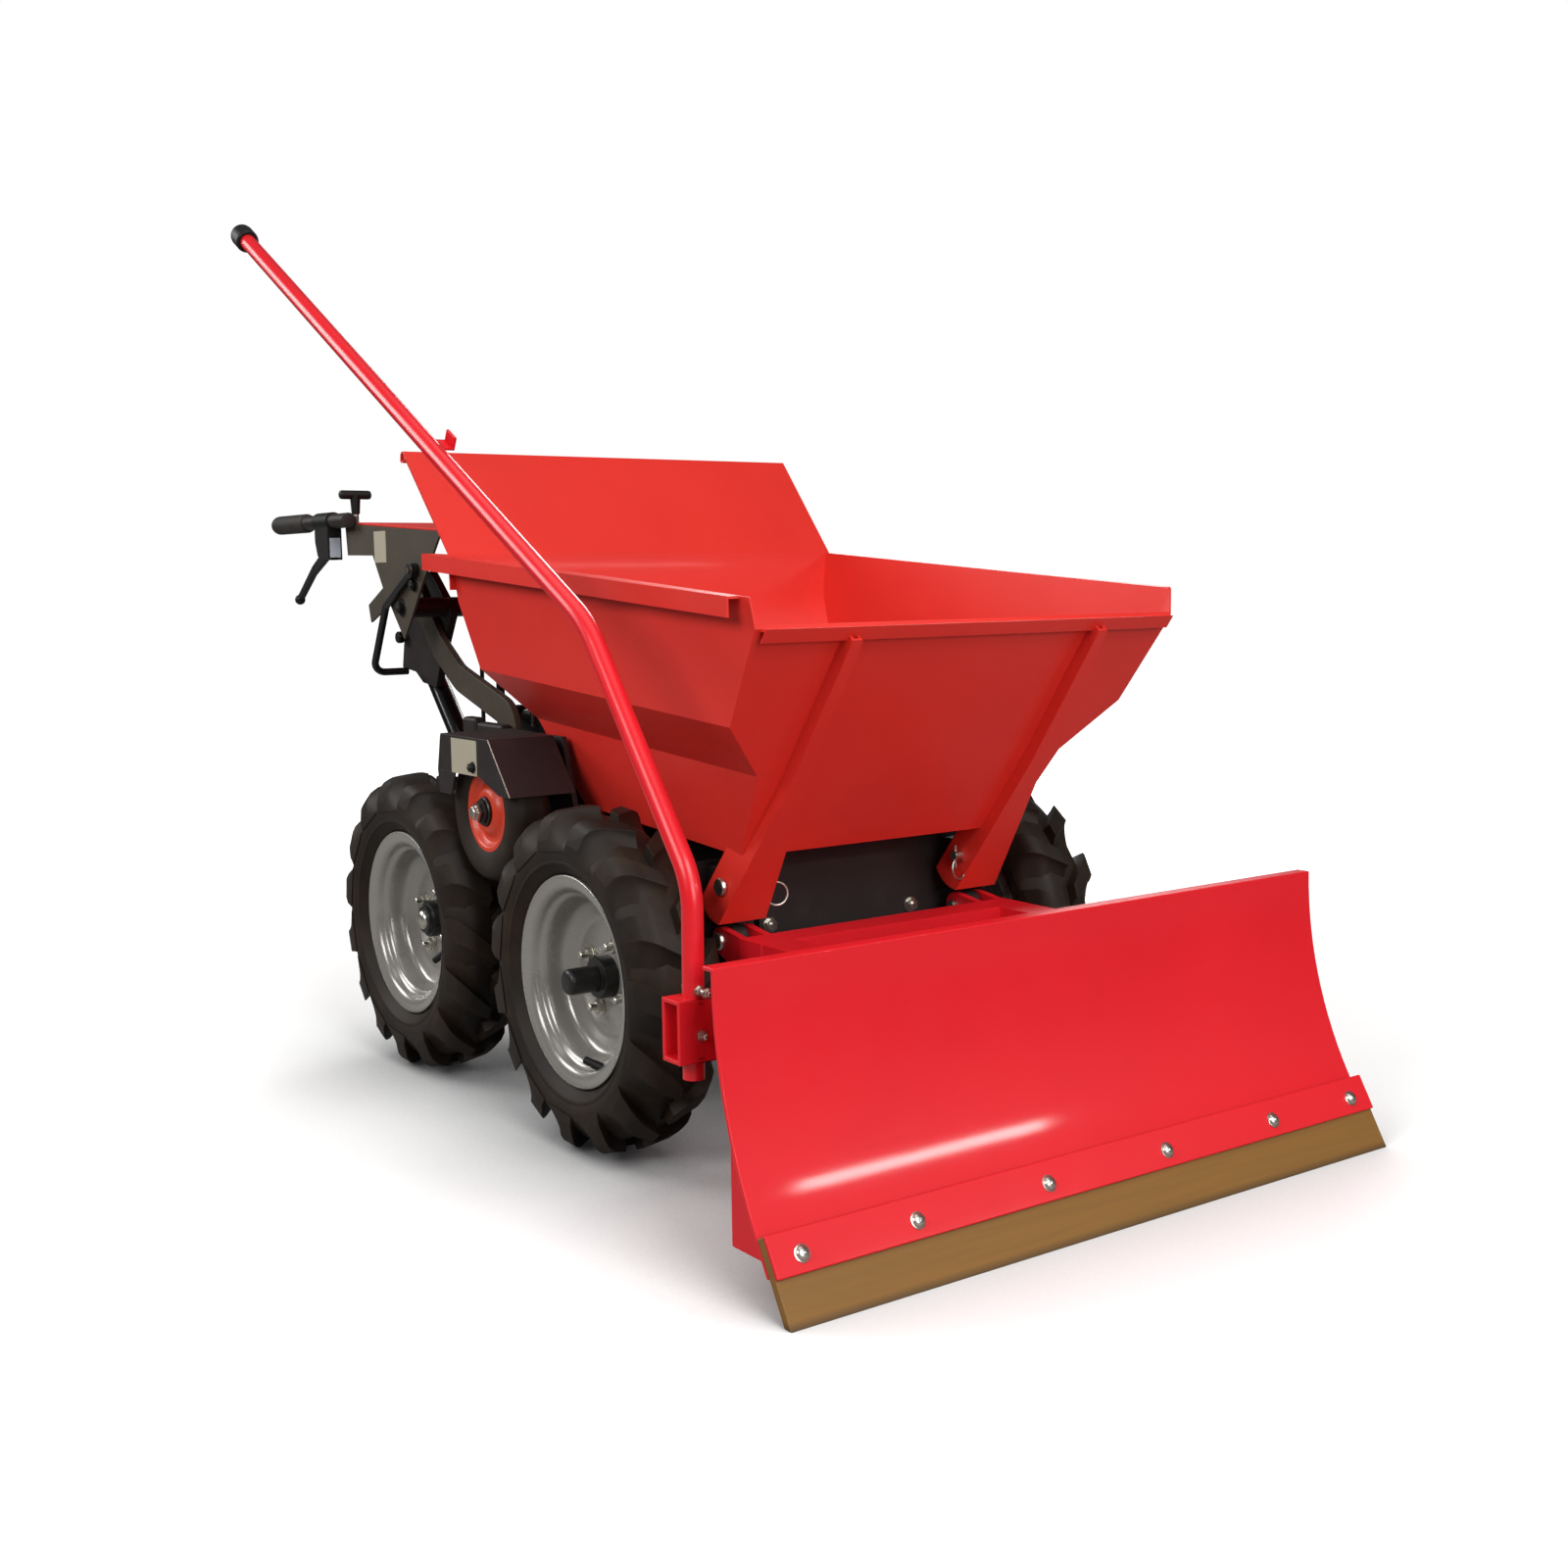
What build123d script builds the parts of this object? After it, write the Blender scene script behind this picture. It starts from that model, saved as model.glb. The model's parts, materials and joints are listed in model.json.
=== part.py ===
from build123d import *
import math
import os

# Mini dumper: four driven wheels, a forward-tipping skip, walk-behind handlebars and a dozer
# blade raised by a long side lever. Millimetres. X points forward, Y to the left, Z up, and the
# origin lies on the ground midway between the axles.

# General clearances
running_gap = 0.06  # radial play of a pin or shaft that turns
seat_gap = 0.05  # radial play of a pressed or bolted piece
rest_gap = 0.3  # daylight between pieces that rest on each other
sheet = 3.0  # skip and hood sheet
plate = 8.0  # chassis plate

# Road wheels
wheel_base = 532.0
wheel_radius = 230.0
track_half = 329.0
tyre_width = 120.0
tyre_wall = 12.0
bead_radius = 127.0
tread_depth = 16.0
lug_count = 15
lug_root_width = 22.0
lug_end_width = 31.0
lug_crown = ((42.0, 0.0), (32.0, 1.0), (16.0, 10.0), (5.0, 24.0), (0.0, 42.0))  # drop and inset
lug_sweep = 0.75  # sideways run of a lug per millimetre across the tread
flange_radius = 141.0
rim_half_width = 44.0
rim_sheet = 4.0
well_radius = 111.0
disc_inset = 28.0  # wheel disc inboard of the wheel's centre plane
hub_flange_radius = 62.0
hub_flange_depth = 10.0
hub_pilot_radius = 28.0
hub_pilot_reach = 20.0
front_nose_radius = 18.5
front_nose_reach = 55.0
rear_dome_radius = 22.0
rear_dome_reach = 14.0
wheel_bolt_count = 5
wheel_bolt_circle = 50.0
wheel_bolt_radius = 6.0
wheel_bolt_head = 10.5
wheel_bolt_height = 10.0
stub_radius = 15.0
stub_length = 65.0
axle_tube_radius = 28.0

# Friction wheels between the road tyres
idler_radius = 101.0
idler_contact_gap = 0.6
idler_rim_radius = 58.0
idler_width = 62.0
idler_plane = 334.0
idler_axle_radius = 10.0
idler_nut_radius = 17.0
idler_nut_height = 8.0

# Chassis
frame_half = 150.0
frame_drop = 50.0  # below the axles
frame_rear = -345.0
frame_front = 346.0
bed_top = 300.0
bed_half = 256.0
bed_front = 110.0
deck_top = 385.0
wing_front = 355.0
wing_half = 232.0
cover_half = 138.0
cover_depth = 16.0
cover_bottom = 275.0
cover_top = 386.0
cover_bolt_radius = 5.0
cover_bolt_spread = 122.0
buffer_radius = 18.0
buffer_spread = 105.0
buffer_stations = (150.0, 315.0)

# Skip: one cross-section, given at X = 0, carried along a line that dips to the front
skip_rake = 4.3
skip_floor_z = 437.0
skip_floor_half = 226.0
skip_low_crease_z = 553.0
skip_low_crease_half = 252.0
skip_high_crease_z = 623.0
skip_high_crease_half = 321.0
skip_wall_z = 781.0
skip_wall_half = 342.0
front_slope = 34.2
front_anchor = (573.0, 579.0)
back_slope = 34.0
back_top = (-257.0, 945.0)
back_half = 351.0
lip_z = 696.0
lip_reach = 12.0
lip_drop = 16.0
lip_half = 329.0
wall_corner_x = 648.0
flange_half = 360.0
flange_drop = 24.0
flange_rear = -184.0
flange_front = 630.0
hem_width = 16.0
hem_height = 21.0

# Skip legs and their pivot
pivot = (417.0, 361.0)
pivot_pin_radius = 8.0
leg_to_pivot = 25.0  # leg's front face ahead of the pivot
leg_sheet = 4.0
leg_depth = 50.0
leg_end_radius = 50.0
leg_centre = 200.0
leg_foot_width = 74.0
leg_foot_run = -43.0  # measured up the leg from the pivot
leg_knee_width = 26.0
leg_knee_run = 185.0
leg_head_width = 15.0
lug_half_height = 18.0
lug_half_width = 14.0
pin_head_radius = 12.0
pin_head_height = 6.0

# Blade and its hinge
hinge = (396.0, 286.0)
hinge_pin_radius = 8.0
ear_radius = 18.0
ear_half_width = 10.0
fork_gap = 3.0
fork_plate = 11.0
blade_half = 481.0
blade_sheet = 5.0
blade_top = (774.0, 350.0)
blade_top_lean = 0.0
blade_foot_lean = 30.0
blade_bend_z = 86.0
blade_foot_z = 44.0
blade_flange = 20.0
edge_thickness = 11.0
edge_top_z = 80.0
clamp_thickness = 5.0
clamp_foot_z = 40.0
edge_bolt_count = 6
edge_bolt_inset = 37.0
edge_bolt_z = 57.0
edge_bolt_radius = 5.0
edge_bolt_head = 9.0
edge_bolt_height = 6.0
beam_x = 694.0
beam_z = 265.5
beam_width = 50.0
beam_height = 71.0
beam_wall = 5.0
beam_inset = 1.0
push_tube = 50.0
push_rear = 443.0
push_half = 226.0
rib_plate = 8.0
rib_rear = 774.0
rib_foot_z = 46.0
rib_spread = 150.0
rib_inset = 22.0

# Lift lever
lever_inset = 28.0  # inboard of the beam's end
lever_radius = 12.0
lever_wall = 3.0
lever_foot_z = 203.0
lever_knee_z = 426.0
lever_elbow = (474.7, 703.8)
lever_tip = (-628.0, 1313.3)
lever_knee_bend = 90.0
lever_elbow_bend = 160.0
cap_radius = 18.5
cap_length = 36.0
catch_run = 780.0  # distance of the catch from the lever's tip
catch_width = 28.0
catch_reach = 34.0
catch_rise = 24.0
catch_sheet = 4.0

# Idler bracket and hood
bracket_inner = 256.0
bracket_half = 95.0
hood_outer = 380.0
hood_rise = 107.0  # above the friction wheel's axle
hood_rear = -98.0
hood_shoulder = 56.0
hood_nose_run = 63.0
hood_nose_drop = 76.0
hood_skirt_drop = 53.0

# Handlebars
arm_inner = 228.0
arm_plate = 12.0
arm_width = 54.0
arm_foot_x = -228.0
arm_route = ((-228.0, 540.0), (-310.0, 572.0), (-385.0, 618.0), (-540.0, 790.0))
arm_bends = (30.0, 90.0, 90.0)
column_inner = 190.0
column_outline = (
    (-500.0, 770.0), (-448.0, 770.0), (-372.0, 704.0),
    (-412.0, 640.0), (-470.0, 588.0), (-536.0, 596.0), (-556.0, 690.0),
)
strut_radius = 17.0
strut_top = (-478.0, 592.0)
strut_foot_x = -206.0
cross_tube = (-400.0, 712.0)
cross_tube_radius = 16.0
side_plate_outer = 300.0
side_plate = 4.0
console_front = -245.0
console_rear = -625.0
console_bottom = 799.0
deck_front_z = 833.5
deck_rear_z = 853.0
deck_rear = -568.0
deck_sheet = 4.0
handle_z = 857.0
handle_radius = 12.5
handle_front = -575.0
grip_rear = -907.1
grip_radius = 16.5
grip_length = 150.0
grip_end_wall = 8.0
ring_length = 20.0
ring_radius = 15.5
perch_front = -640.0
perch_rear = -732.0
perch_bottom = 792.0
lever_pivot = (-664.0, 808.0)
lever_pin_radius = 4.0
hand_lever_tip = (-814.0, 724.0)
hand_lever_plate = 9.0
hand_lever_ball = 9.0
gate_width = 40.0
gear_pivot = (-604.0, 826.0)
gear_plane = -288.0
gear_swing = 10.0
gear_stem_radius = 5.0
gear_bar_z = 900.0
gear_bar_length = 72.0
gear_bar_radius = 7.5
gear_neck_z = 868.0
gear_neck_radius = 6.5
release_pivot = (-339.0, 771.0)
release_stud_radius = 5.0
release_radius = 6.0
release_elbow = (-447.0, 715.0)
release_foot = (-510.0, 605.0)
release_bend = 22.0
conduits = ((-378.0, -174.0, 3.5), (-374.0, -143.5, 7.0))  # place and radius of each
conduit_knee_z = 430.0
conduit_foot = (-325.0, 350.0)
conduit_bend = 26.0

# Engine and gearbox
engine_x = -150.0
block_half_x = 85.0
block_half_y = 85.0
block_top = 388.0
barrel_half = 62.0
barrel_length = 92.0
fin_count = 9
fin_thickness = 3.5
fin_depth = 10.0
cowl_radius = 112.0
cowl_top = 458.0
recoil_radius = 88.0
recoil_height = 34.0
recoil_slots = 12
gearbox_half_x = 68.0
gearbox_half_y = 86.0
gearbox_bottom = 158.0

axle_z = wheel_radius
idler_reach = wheel_radius + idler_radius + idler_contact_gap
idler_z = axle_z + math.sqrt(idler_reach**2 - (wheel_base / 2) ** 2)
deck_z = deck_top - plate
bed_z = bed_top - plate
handle_y = side_plate_outer + handle_radius + rest_gap
frame_bottom = axle_z - frame_drop
beam_half = blade_half - beam_inset
rib_stations = (rib_spread, blade_half - rib_inset)
edge_bolt_spread = blade_half - edge_bolt_inset
lever_plane = lever_inset - beam_half
hood_top = round(idler_z + hood_rise)  # to the whole millimetre
hood_nose = (hood_shoulder + hood_nose_run, hood_top - hood_nose_drop)
hood_skirt = hood_top - hood_skirt_drop


def slab(outline, y_from, y_to):
    # Flat piece with its outline in X and Z, between two Y planes
    side = Plane.XZ.offset(-max(y_from, y_to))
    return extrude(side * make_face(Polyline(*outline, close=True)), abs(y_to - y_from))


def y_rod(radius, y_from, y_to, x=0.0, z=0.0):
    return Pos(x, (y_from + y_to) / 2, z) * Rot(90, 0, 0) * Cylinder(radius, abs(y_to - y_from))


def block(x_from, x_to, y_from, y_to, z_from, z_to):
    middle = Pos((x_from + x_to) / 2, (y_from + y_to) / 2, (z_from + z_to) / 2)
    return middle * Box(abs(x_to - x_from), abs(y_to - y_from), abs(z_to - z_from))


def mirrored(piece):
    return mirror(piece, about=Plane.XZ)


def pair(piece):
    return Compound(children=[*piece.solids(), *mirrored(piece).solids()])


def turned(points):
    # Solid of revolution about Y from points given as radius and width
    return revolve(make_face(Polyline(*points, close=True)), axis=Axis.Y)


def tube_along(points, radius, bends, wall=0.0):
    path = FilletPolyline(*points, radius=bends) if len(points) > 2 else Line(*points)
    section = Circle(radius) - Circle(radius - wall) if wall else Circle(radius)
    return sweep(Plane(origin=path @ 0, z_dir=path % 0) * section, path=path)


def hex_prism(across_corners, height):
    return extrude(RegularPolygon(across_corners, 6), height)


def save(name, piece):
    export_step(piece, f"parts/{name}.step")


os.makedirs("parts", exist_ok=True)


# Road wheel, built with its axis on Y and its outboard side towards +Y
def make_tyre():
    half = tyre_width / 2
    base = wheel_radius - tread_depth
    bead = bead_radius + seat_gap
    bead_half = rim_half_width - rim_sheet - 1
    neck = flange_radius + 2
    bulge = (neck + base) / 2
    shoulder, shoulder_half = base - 14, half - 6
    outer = (
        Line((bead, bead_half), (neck, bead_half)),
        ThreePointArc((neck, bead_half), (bulge, half), (shoulder, shoulder_half)),
        Polyline(
            (shoulder, shoulder_half), (base, half - 26), (base, 26 - half), (shoulder, -shoulder_half)
        ),
        ThreePointArc((shoulder, -shoulder_half), (bulge, -half), (neck, -bead_half)),
        Line((neck, -bead_half), (bead, -bead_half)),
    )
    inner_half = bead_half - tyre_wall
    inner_shoulder = shoulder - tyre_wall / 2
    cavity = [
        (bead, -inner_half), (neck, -inner_half), (bulge, tyre_wall - half),
        (inner_shoulder, tyre_wall - shoulder_half),
    ]
    inner = Polyline(
        (bead, -bead_half), *cavity, *[(r, -y) for r, y in reversed(cavity)], (bead, bead_half)
    )
    carcass = revolve(make_face([e for run in (*outer, inner) for e in run.edges()]), axis=Axis.Y)
    crown = [(half - inset, wheel_radius - drop) for drop, inset in lug_crown]
    buried = [(0, base - tyre_wall / 2), (half - 26, base - tyre_wall / 2), (half - 6, crown[0][1] - 4)]
    root, end = lug_root_width / 2, lug_end_width / 2
    trail = lug_sweep * half
    section = make_face(Polyline(*buried, *crown, (0, wheel_radius), close=True))
    bar = extrude(Plane.YZ * section, half, both=True)
    bar = Pos(-trail / 2, 0, 0) * bar
    footprint = Polyline((-root, 0), (root, 0), (end - trail, half), (-end - trail, half), close=True)
    lug = bar & extrude(make_face(footprint), wheel_radius) & y_rod(wheel_radius, 0, half)
    pitch = 360 / lug_count
    lugs = [Rot(0, pitch * n, 0) * lug for n in range(lug_count)]
    lugs += [Rot(0, pitch * (n + 0.5), 0) * mirrored(lug) for n in range(lug_count)]
    return carcass + lugs


def make_rim():
    half = rim_half_width
    seat_end, well_half = half - 24, half - 32
    inner_seat, inner_well = bead_radius - rim_sheet, well_radius - rim_sheet
    shell = turned(
        [
            (flange_radius, half), (flange_radius, half - rim_sheet), (bead_radius, half - rim_sheet),
            (bead_radius, seat_end), (well_radius, well_half), (well_radius, -well_half),
            (bead_radius, -seat_end), (bead_radius, rim_sheet - half),
            (flange_radius, rim_sheet - half), (flange_radius, -half),
            (inner_seat, -half), (inner_seat, -seat_end + 2), (inner_well, -well_half + 2),
            (inner_well, well_half - 2), (inner_seat, seat_end - 2), (inner_seat, half),
        ]
    )
    hole = hub_pilot_radius + rest_gap
    dish = [
        (hole, -disc_inset), (wheel_bolt_circle + 24, -disc_inset), (inner_seat - 14, -disc_inset + 8),
        (inner_seat + 1, -disc_inset + 8), (inner_seat + 1, -disc_inset + 8 - rim_sheet),
        (inner_seat - 14, -disc_inset + 8 - rim_sheet),
        (wheel_bolt_circle + 24, -disc_inset - rim_sheet), (hole, -disc_inset - rim_sheet),
    ]
    rim = shell + turned(dish)
    return rim - [
        bolt_place(n) * y_rod(wheel_bolt_radius + seat_gap, -disc_inset - 10, -disc_inset + 10)
        for n in range(wheel_bolt_count)
    ]


def bolt_place(n):
    return Rot(0, 360 / wheel_bolt_count * n, 0) * Pos(0, 0, wheel_bolt_circle)


def make_wheel_bolts():
    head = Rot(-90, 0, 0) * hex_prism(wheel_bolt_head, wheel_bolt_height)
    bolt = Pos(0, -disc_inset, 0) * head
    bolt += y_rod(wheel_bolt_radius, -disc_inset - rim_sheet, -disc_inset + wheel_bolt_height + 3)
    return [bolt_place(n) * bolt for n in range(wheel_bolt_count)]


def make_hub(nose_profile):
    back = -disc_inset - rim_sheet
    profile = [
        (0, back - hub_flange_depth - stub_length), (stub_radius, back - hub_flange_depth - stub_length),
        (stub_radius, back - hub_flange_depth), (hub_flange_radius, back - hub_flange_depth),
        (hub_flange_radius, back), (hub_pilot_radius, back),
        (hub_pilot_radius, back + rim_sheet + hub_pilot_reach), *nose_profile,
    ]
    hub = turned(profile)
    return Compound(children=[hub.solids()[0], *[s for b in make_wheel_bolts() for s in b.solids()]])


nose_root = hub_pilot_reach - disc_inset
front_nose = [
    (front_nose_radius, nose_root), (front_nose_radius, front_nose_reach - 3),
    (front_nose_radius - 3, front_nose_reach), (0, front_nose_reach),
]
rear_nose = [
    (rear_dome_radius, nose_root), (rear_dome_radius, rear_dome_reach - 8),
    (rear_dome_radius - 7, rear_dome_reach - 2), (0, rear_dome_reach),
]
tyre = make_tyre()
rim = make_rim()
for end_name, axle_x, nose in (("front", wheel_base / 2, front_nose), ("rear", -wheel_base / 2, rear_nose)):
    for piece_name, piece in (("tyre", tyre), ("rim", rim), ("hub", make_hub(nose))):
        placed = Pos(axle_x, track_half, axle_z) * piece
        save(f"{end_name}_left_{piece_name}", placed)
        save(f"{end_name}_right_{piece_name}", mirrored(placed))

# Axle tubes carry the wheels' stub shafts
stub_root = track_half - disc_inset - rim_sheet - hub_flange_depth
tube_end = stub_root - 2.5
stub_bore = stub_radius + running_gap
front_axle = y_rod(axle_tube_radius, -tube_end, tube_end, wheel_base / 2, axle_z)
front_axle -= y_rod(stub_bore, -tube_end, tube_end, wheel_base / 2, axle_z)
save("front_axle", front_axle)
rear_tube = y_rod(axle_tube_radius, gearbox_half_y, tube_end, -wheel_base / 2, axle_z)
rear_tube += y_rod(axle_tube_radius + 16, gearbox_half_y, gearbox_half_y + 10, -wheel_base / 2, axle_z)
rear_tube -= y_rod(stub_bore, gearbox_half_y, tube_end, -wheel_base / 2, axle_z)
save("rear_axle", pair(rear_tube))

# Friction wheel, its outboard side towards +Y
idler_half = idler_width / 2
idler_seat = idler_rim_radius + seat_gap
idler_tyre = turned(
    [
        (idler_seat, idler_half - 7), (idler_radius - 22, idler_half), (idler_radius - 9, idler_half - 3),
        (idler_radius, idler_half - 13), (idler_radius, 13 - idler_half), (idler_radius - 9, 3 - idler_half),
        (idler_radius - 22, -idler_half), (idler_seat, 7 - idler_half),
    ]
)
idler_bore = idler_axle_radius + running_gap
idler_hub_half = idler_half - 1
idler_rim = turned(
    [
        (idler_bore, -idler_hub_half), (22, -idler_hub_half), (22, 0), (40, 0),
        (idler_rim_radius - 5, 7 - idler_half), (idler_rim_radius, 7 - idler_half),
        (idler_rim_radius, idler_half - 7), (idler_rim_radius - 5, idler_half - 7),
        (42, 6), (24, 6), (22, idler_hub_half), (idler_bore, idler_hub_half),
    ]
)
for piece_name, piece in (("tyre", idler_tyre), ("rim", idler_rim)):
    placed = Pos(0, idler_plane, idler_z) * piece
    save(f"idler_left_{piece_name}", placed)
    save(f"idler_right_{piece_name}", mirrored(placed))

# Idler bracket: plate on the bed's edge with the stub axle, its spacer and nut
bracket_outer = bracket_inner + plate
hub_inner = idler_plane - idler_hub_half
hub_outer = idler_plane + idler_hub_half
bracket = slab(
    [
        (-bracket_half, bed_z), (bracket_half, bed_z), (bracket_half, idler_z - 20),
        (hood_shoulder, hood_top - sheet), (-bracket_half, hood_top - sheet),
    ],
    bracket_inner,
    bracket_outer,
)
bracket += y_rod(idler_axle_radius + 7, bracket_outer, hub_inner - rest_gap, 0, idler_z)
bracket += y_rod(idler_axle_radius, bracket_outer, hub_outer + 6, 0, idler_z)
nut_place = Pos(0, hub_outer + rest_gap, idler_z) * Rot(-90, 0, 0)
bracket += nut_place * Cylinder(idler_nut_radius, 3, align=(Align.CENTER, Align.CENTER, Align.MIN))
bracket += nut_place * hex_prism(idler_nut_radius - 3, idler_nut_height)
save("idler_brackets", pair(bracket))

# Hood over each friction wheel
hood_back = hood_rear - sheet
hood_slope = [(hood_shoulder, hood_top), hood_nose]
hood_outline = [
    (hood_rear, hood_skirt), (hood_rear, hood_top), *hood_slope,
    (hood_nose[0] - 34, hood_nose[1]), (hood_shoulder - 34, hood_skirt),
]
hood = slab(
    [
        (hood_rear, hood_skirt), (hood_rear, hood_top), *hood_slope,
        (hood_nose[0] - sheet, hood_nose[1]), (hood_shoulder - sheet, hood_top - sheet),
        (hood_rear + sheet, hood_top - sheet), (hood_rear + sheet, hood_skirt),
    ],
    bracket_outer,
    hood_outer,
)
hood += slab(hood_outline, hood_outer - sheet, hood_outer)
save("idler_hoods", pair(hood))

# Chassis: two side plates with engine bed, skip deck, bulkhead, wings, pivot lugs and hinge ears
side = slab(
    [
        (frame_rear, frame_bottom), (wing_front, frame_bottom), (wing_front, deck_top),
        (bed_front, deck_top), (bed_front - 60, bed_top), (frame_rear, bed_top),
    ],
    frame_half - plate,
    frame_half,
)
for axle_x in (wheel_base / 2, -wheel_base / 2):
    side -= y_rod(axle_tube_radius + seat_gap, 0, 2 * frame_half, axle_x, axle_z)
wing = block(wing_front - plate, wing_front, frame_half - plate, wing_half, hinge[1] - 26, deck_top)
wing += slab(
    [(wing_front - 80, hinge[1] - 26), (wing_front, hinge[1] - 26), (wing_front, deck_top)],
    frame_half - plate,
    frame_half + plate,
)


def front_lug(centre, radius, half_width, bore):
    # Bar from the wing to a rounded, bored end
    low, high = leg_centre - half_width, leg_centre + half_width
    bar = block(wing_front - plate, centre[0], low, high, centre[1] - radius, centre[1] + radius)
    bar += y_rod(radius, low, high, *centre)
    return bar - y_rod(bore + seat_gap, low, high, *centre)


side += [
    wing,
    front_lug(pivot, lug_half_height, lug_half_width, pivot_pin_radius),
    front_lug(hinge, ear_radius, ear_half_width, hinge_pin_radius),
]
chassis = side + mirrored(side)
chassis += block(frame_rear, bed_front - 60, -bed_half, bed_half, bed_z, bed_top)
chassis += block(bed_front - 60, bed_front, -bed_half, -frame_half, bed_z, bed_top)
chassis += block(bed_front - 60, bed_front, frame_half, bed_half, bed_z, bed_top)
inner_half = frame_half - plate
chassis += block(bed_front, frame_front, -inner_half, inner_half, deck_z, deck_top)
chassis += block(frame_front - plate, frame_front, -inner_half, inner_half, frame_bottom, deck_z)
chassis += block(frame_rear, frame_rear + plate, -inner_half, inner_half, frame_bottom, bed_z)
save("chassis_frame", chassis)

# Folded front cover, closed at its top and sides, bolted to the bulkhead
cover_front = frame_front + cover_depth
cover = block(frame_front, cover_front, -cover_half, cover_half, cover_bottom, cover_top)
cover -= block(
    frame_front - 1, cover_front - sheet, sheet - cover_half, cover_half - sheet,
    cover_bottom - 1, cover_top - sheet,
)
bolt_z = cover_bottom + 14
cover_bolt = Pos(cover_front, 0, 0) * Rot(0, 90, 0) * hex_prism(cover_bolt_radius * 1.8, 6)
bolt_shank = Pos(frame_front, 0, 0) * Rot(0, 90, 0)
bolt_ends = (Align.CENTER, Align.CENTER, Align.MIN)
cover_bolt += bolt_shank * Cylinder(cover_bolt_radius, cover_depth + 8, align=bolt_ends)
bolt_hole = bolt_shank * Cylinder(cover_bolt_radius + seat_gap, cover_depth + 8, align=bolt_ends)
for y in (-cover_bolt_spread, cover_bolt_spread):
    cover -= Pos(0, y, bolt_z) * bolt_hole
save("front_cover", cover)
save("cover_bolts", pair(Pos(0, cover_bolt_spread, bolt_z) * cover_bolt))

# Skip tub: raked prism of one section, cut by the sloping front and back
rake = math.radians(skip_rake)
half_section = [
    (skip_floor_half, skip_floor_z), (skip_low_crease_half, skip_low_crease_z),
    (skip_high_crease_half, skip_high_crease_z), (skip_wall_half, skip_wall_z),
]
prism_start, prism_length = -700.0, 1700.0


def raked(face_points, x_from, x_to):
    # Section given at X = 0 carried along the dipping line between two X stations
    outline = make_face(Plane.YZ * Polyline(*face_points, close=True))
    start = Pos(x_from, 0, -x_from * math.tan(rake)) * outline
    run = (x_to - x_from) / math.cos(rake)
    return extrude(start, run, dir=(math.cos(rake), 0, -math.sin(rake)))


def front_x(z, inset=0.0):
    slope = math.radians(front_slope)
    return front_anchor[0] + (z - front_anchor[1]) * math.tan(slope) - inset / math.cos(slope)


def back_x(z, inset=0.0):
    slope = math.radians(back_slope)
    return back_top[0] + (back_top[1] - z) * math.tan(slope) + inset / math.cos(slope)


def section_points(rise):
    top_y, top_z = half_section[-1]
    left = half_section[:-1] + [(top_y, top_z)] + ([(top_y + 0.1 * rise, top_z + rise)] if rise else [])
    return left + [(-y, z) for y, z in reversed(left)]


low_z, high_z = skip_floor_z - 200, back_top[1] + 100
tub_outer = raked(section_points(0), prism_start, prism_start + prism_length) & slab(
    [
        (back_x(low_z), low_z), (front_x(low_z), low_z), (front_x(lip_z), lip_z),
        (wall_corner_x, lip_z + 36), (wall_corner_x, high_z), (back_x(high_z), high_z),
    ],
    -2 * skip_wall_half,
    2 * skip_wall_half,
)
inner_face = offset(make_face(Polyline(*section_points(200), close=True)), amount=-sheet)
inner_start = Pos(prism_start, 0, -prism_start * math.tan(rake)) * (Plane.YZ * inner_face)
tub_inner = extrude(
    inner_start, prism_length / math.cos(rake), dir=(math.cos(rake), 0, -math.sin(rake))
) & slab(
    [
        (back_x(low_z, sheet), low_z), (front_x(low_z, sheet), low_z),
        (front_x(high_z, sheet), high_z), (back_x(high_z, sheet), high_z),
    ],
    -2 * skip_wall_half,
    2 * skip_wall_half,
)
tub = tub_outer - tub_inner
panel_low = skip_wall_z - 40
tub += slab(
    [
        (back_x(panel_low), panel_low), (back_x(back_top[1]), back_top[1]),
        (back_x(back_top[1], sheet), back_top[1]), (back_x(panel_low, sheet), panel_low),
    ],
    -back_half,
    back_half,
)
hem_loop = RectangleRounded(hem_width, hem_height, 0.4 * hem_width)
hem_loop -= RectangleRounded(hem_width - 2 * sheet, hem_height - 2 * sheet, 0.4 * hem_width - sheet)
hem_place = Pos(back_x(back_top[1] - hem_height / 2) - hem_width / 2 + 2, back_top[1] - hem_height / 2)
hem = extrude(Plane.XZ.offset(-back_half) * (hem_place * hem_loop), 2 * back_half)
tub += hem - slab(
    [
        (back_x(high_z, sheet), high_z), (back_x(low_z, sheet), low_z),
        (back_x(low_z, 100), low_z), (back_x(high_z, 100), high_z),
    ],
    -back_half,
    back_half,
)
lip_x = front_x(lip_z) + lip_reach
tub += slab(
    [
        (front_x(lip_z, sheet), lip_z), (lip_x, lip_z), (lip_x, lip_z - lip_drop),
        (lip_x - sheet, lip_z - lip_drop), (lip_x - sheet, lip_z - sheet),
        (front_x(lip_z, sheet), lip_z - sheet),
    ],
    -lip_half,
    lip_half,
)
flange_section = [
    (skip_wall_half - sheet, skip_wall_z), (flange_half, skip_wall_z),
    (flange_half, skip_wall_z - flange_drop),
    (flange_half - sheet, skip_wall_z - flange_drop), (flange_half - sheet, skip_wall_z - sheet),
    (skip_wall_half - sheet, skip_wall_z - sheet),
]
flange = raked(flange_section, flange_rear, flange_front)
tub += [flange, mirrored(flange)]
save("skip_tub", tub)

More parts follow.
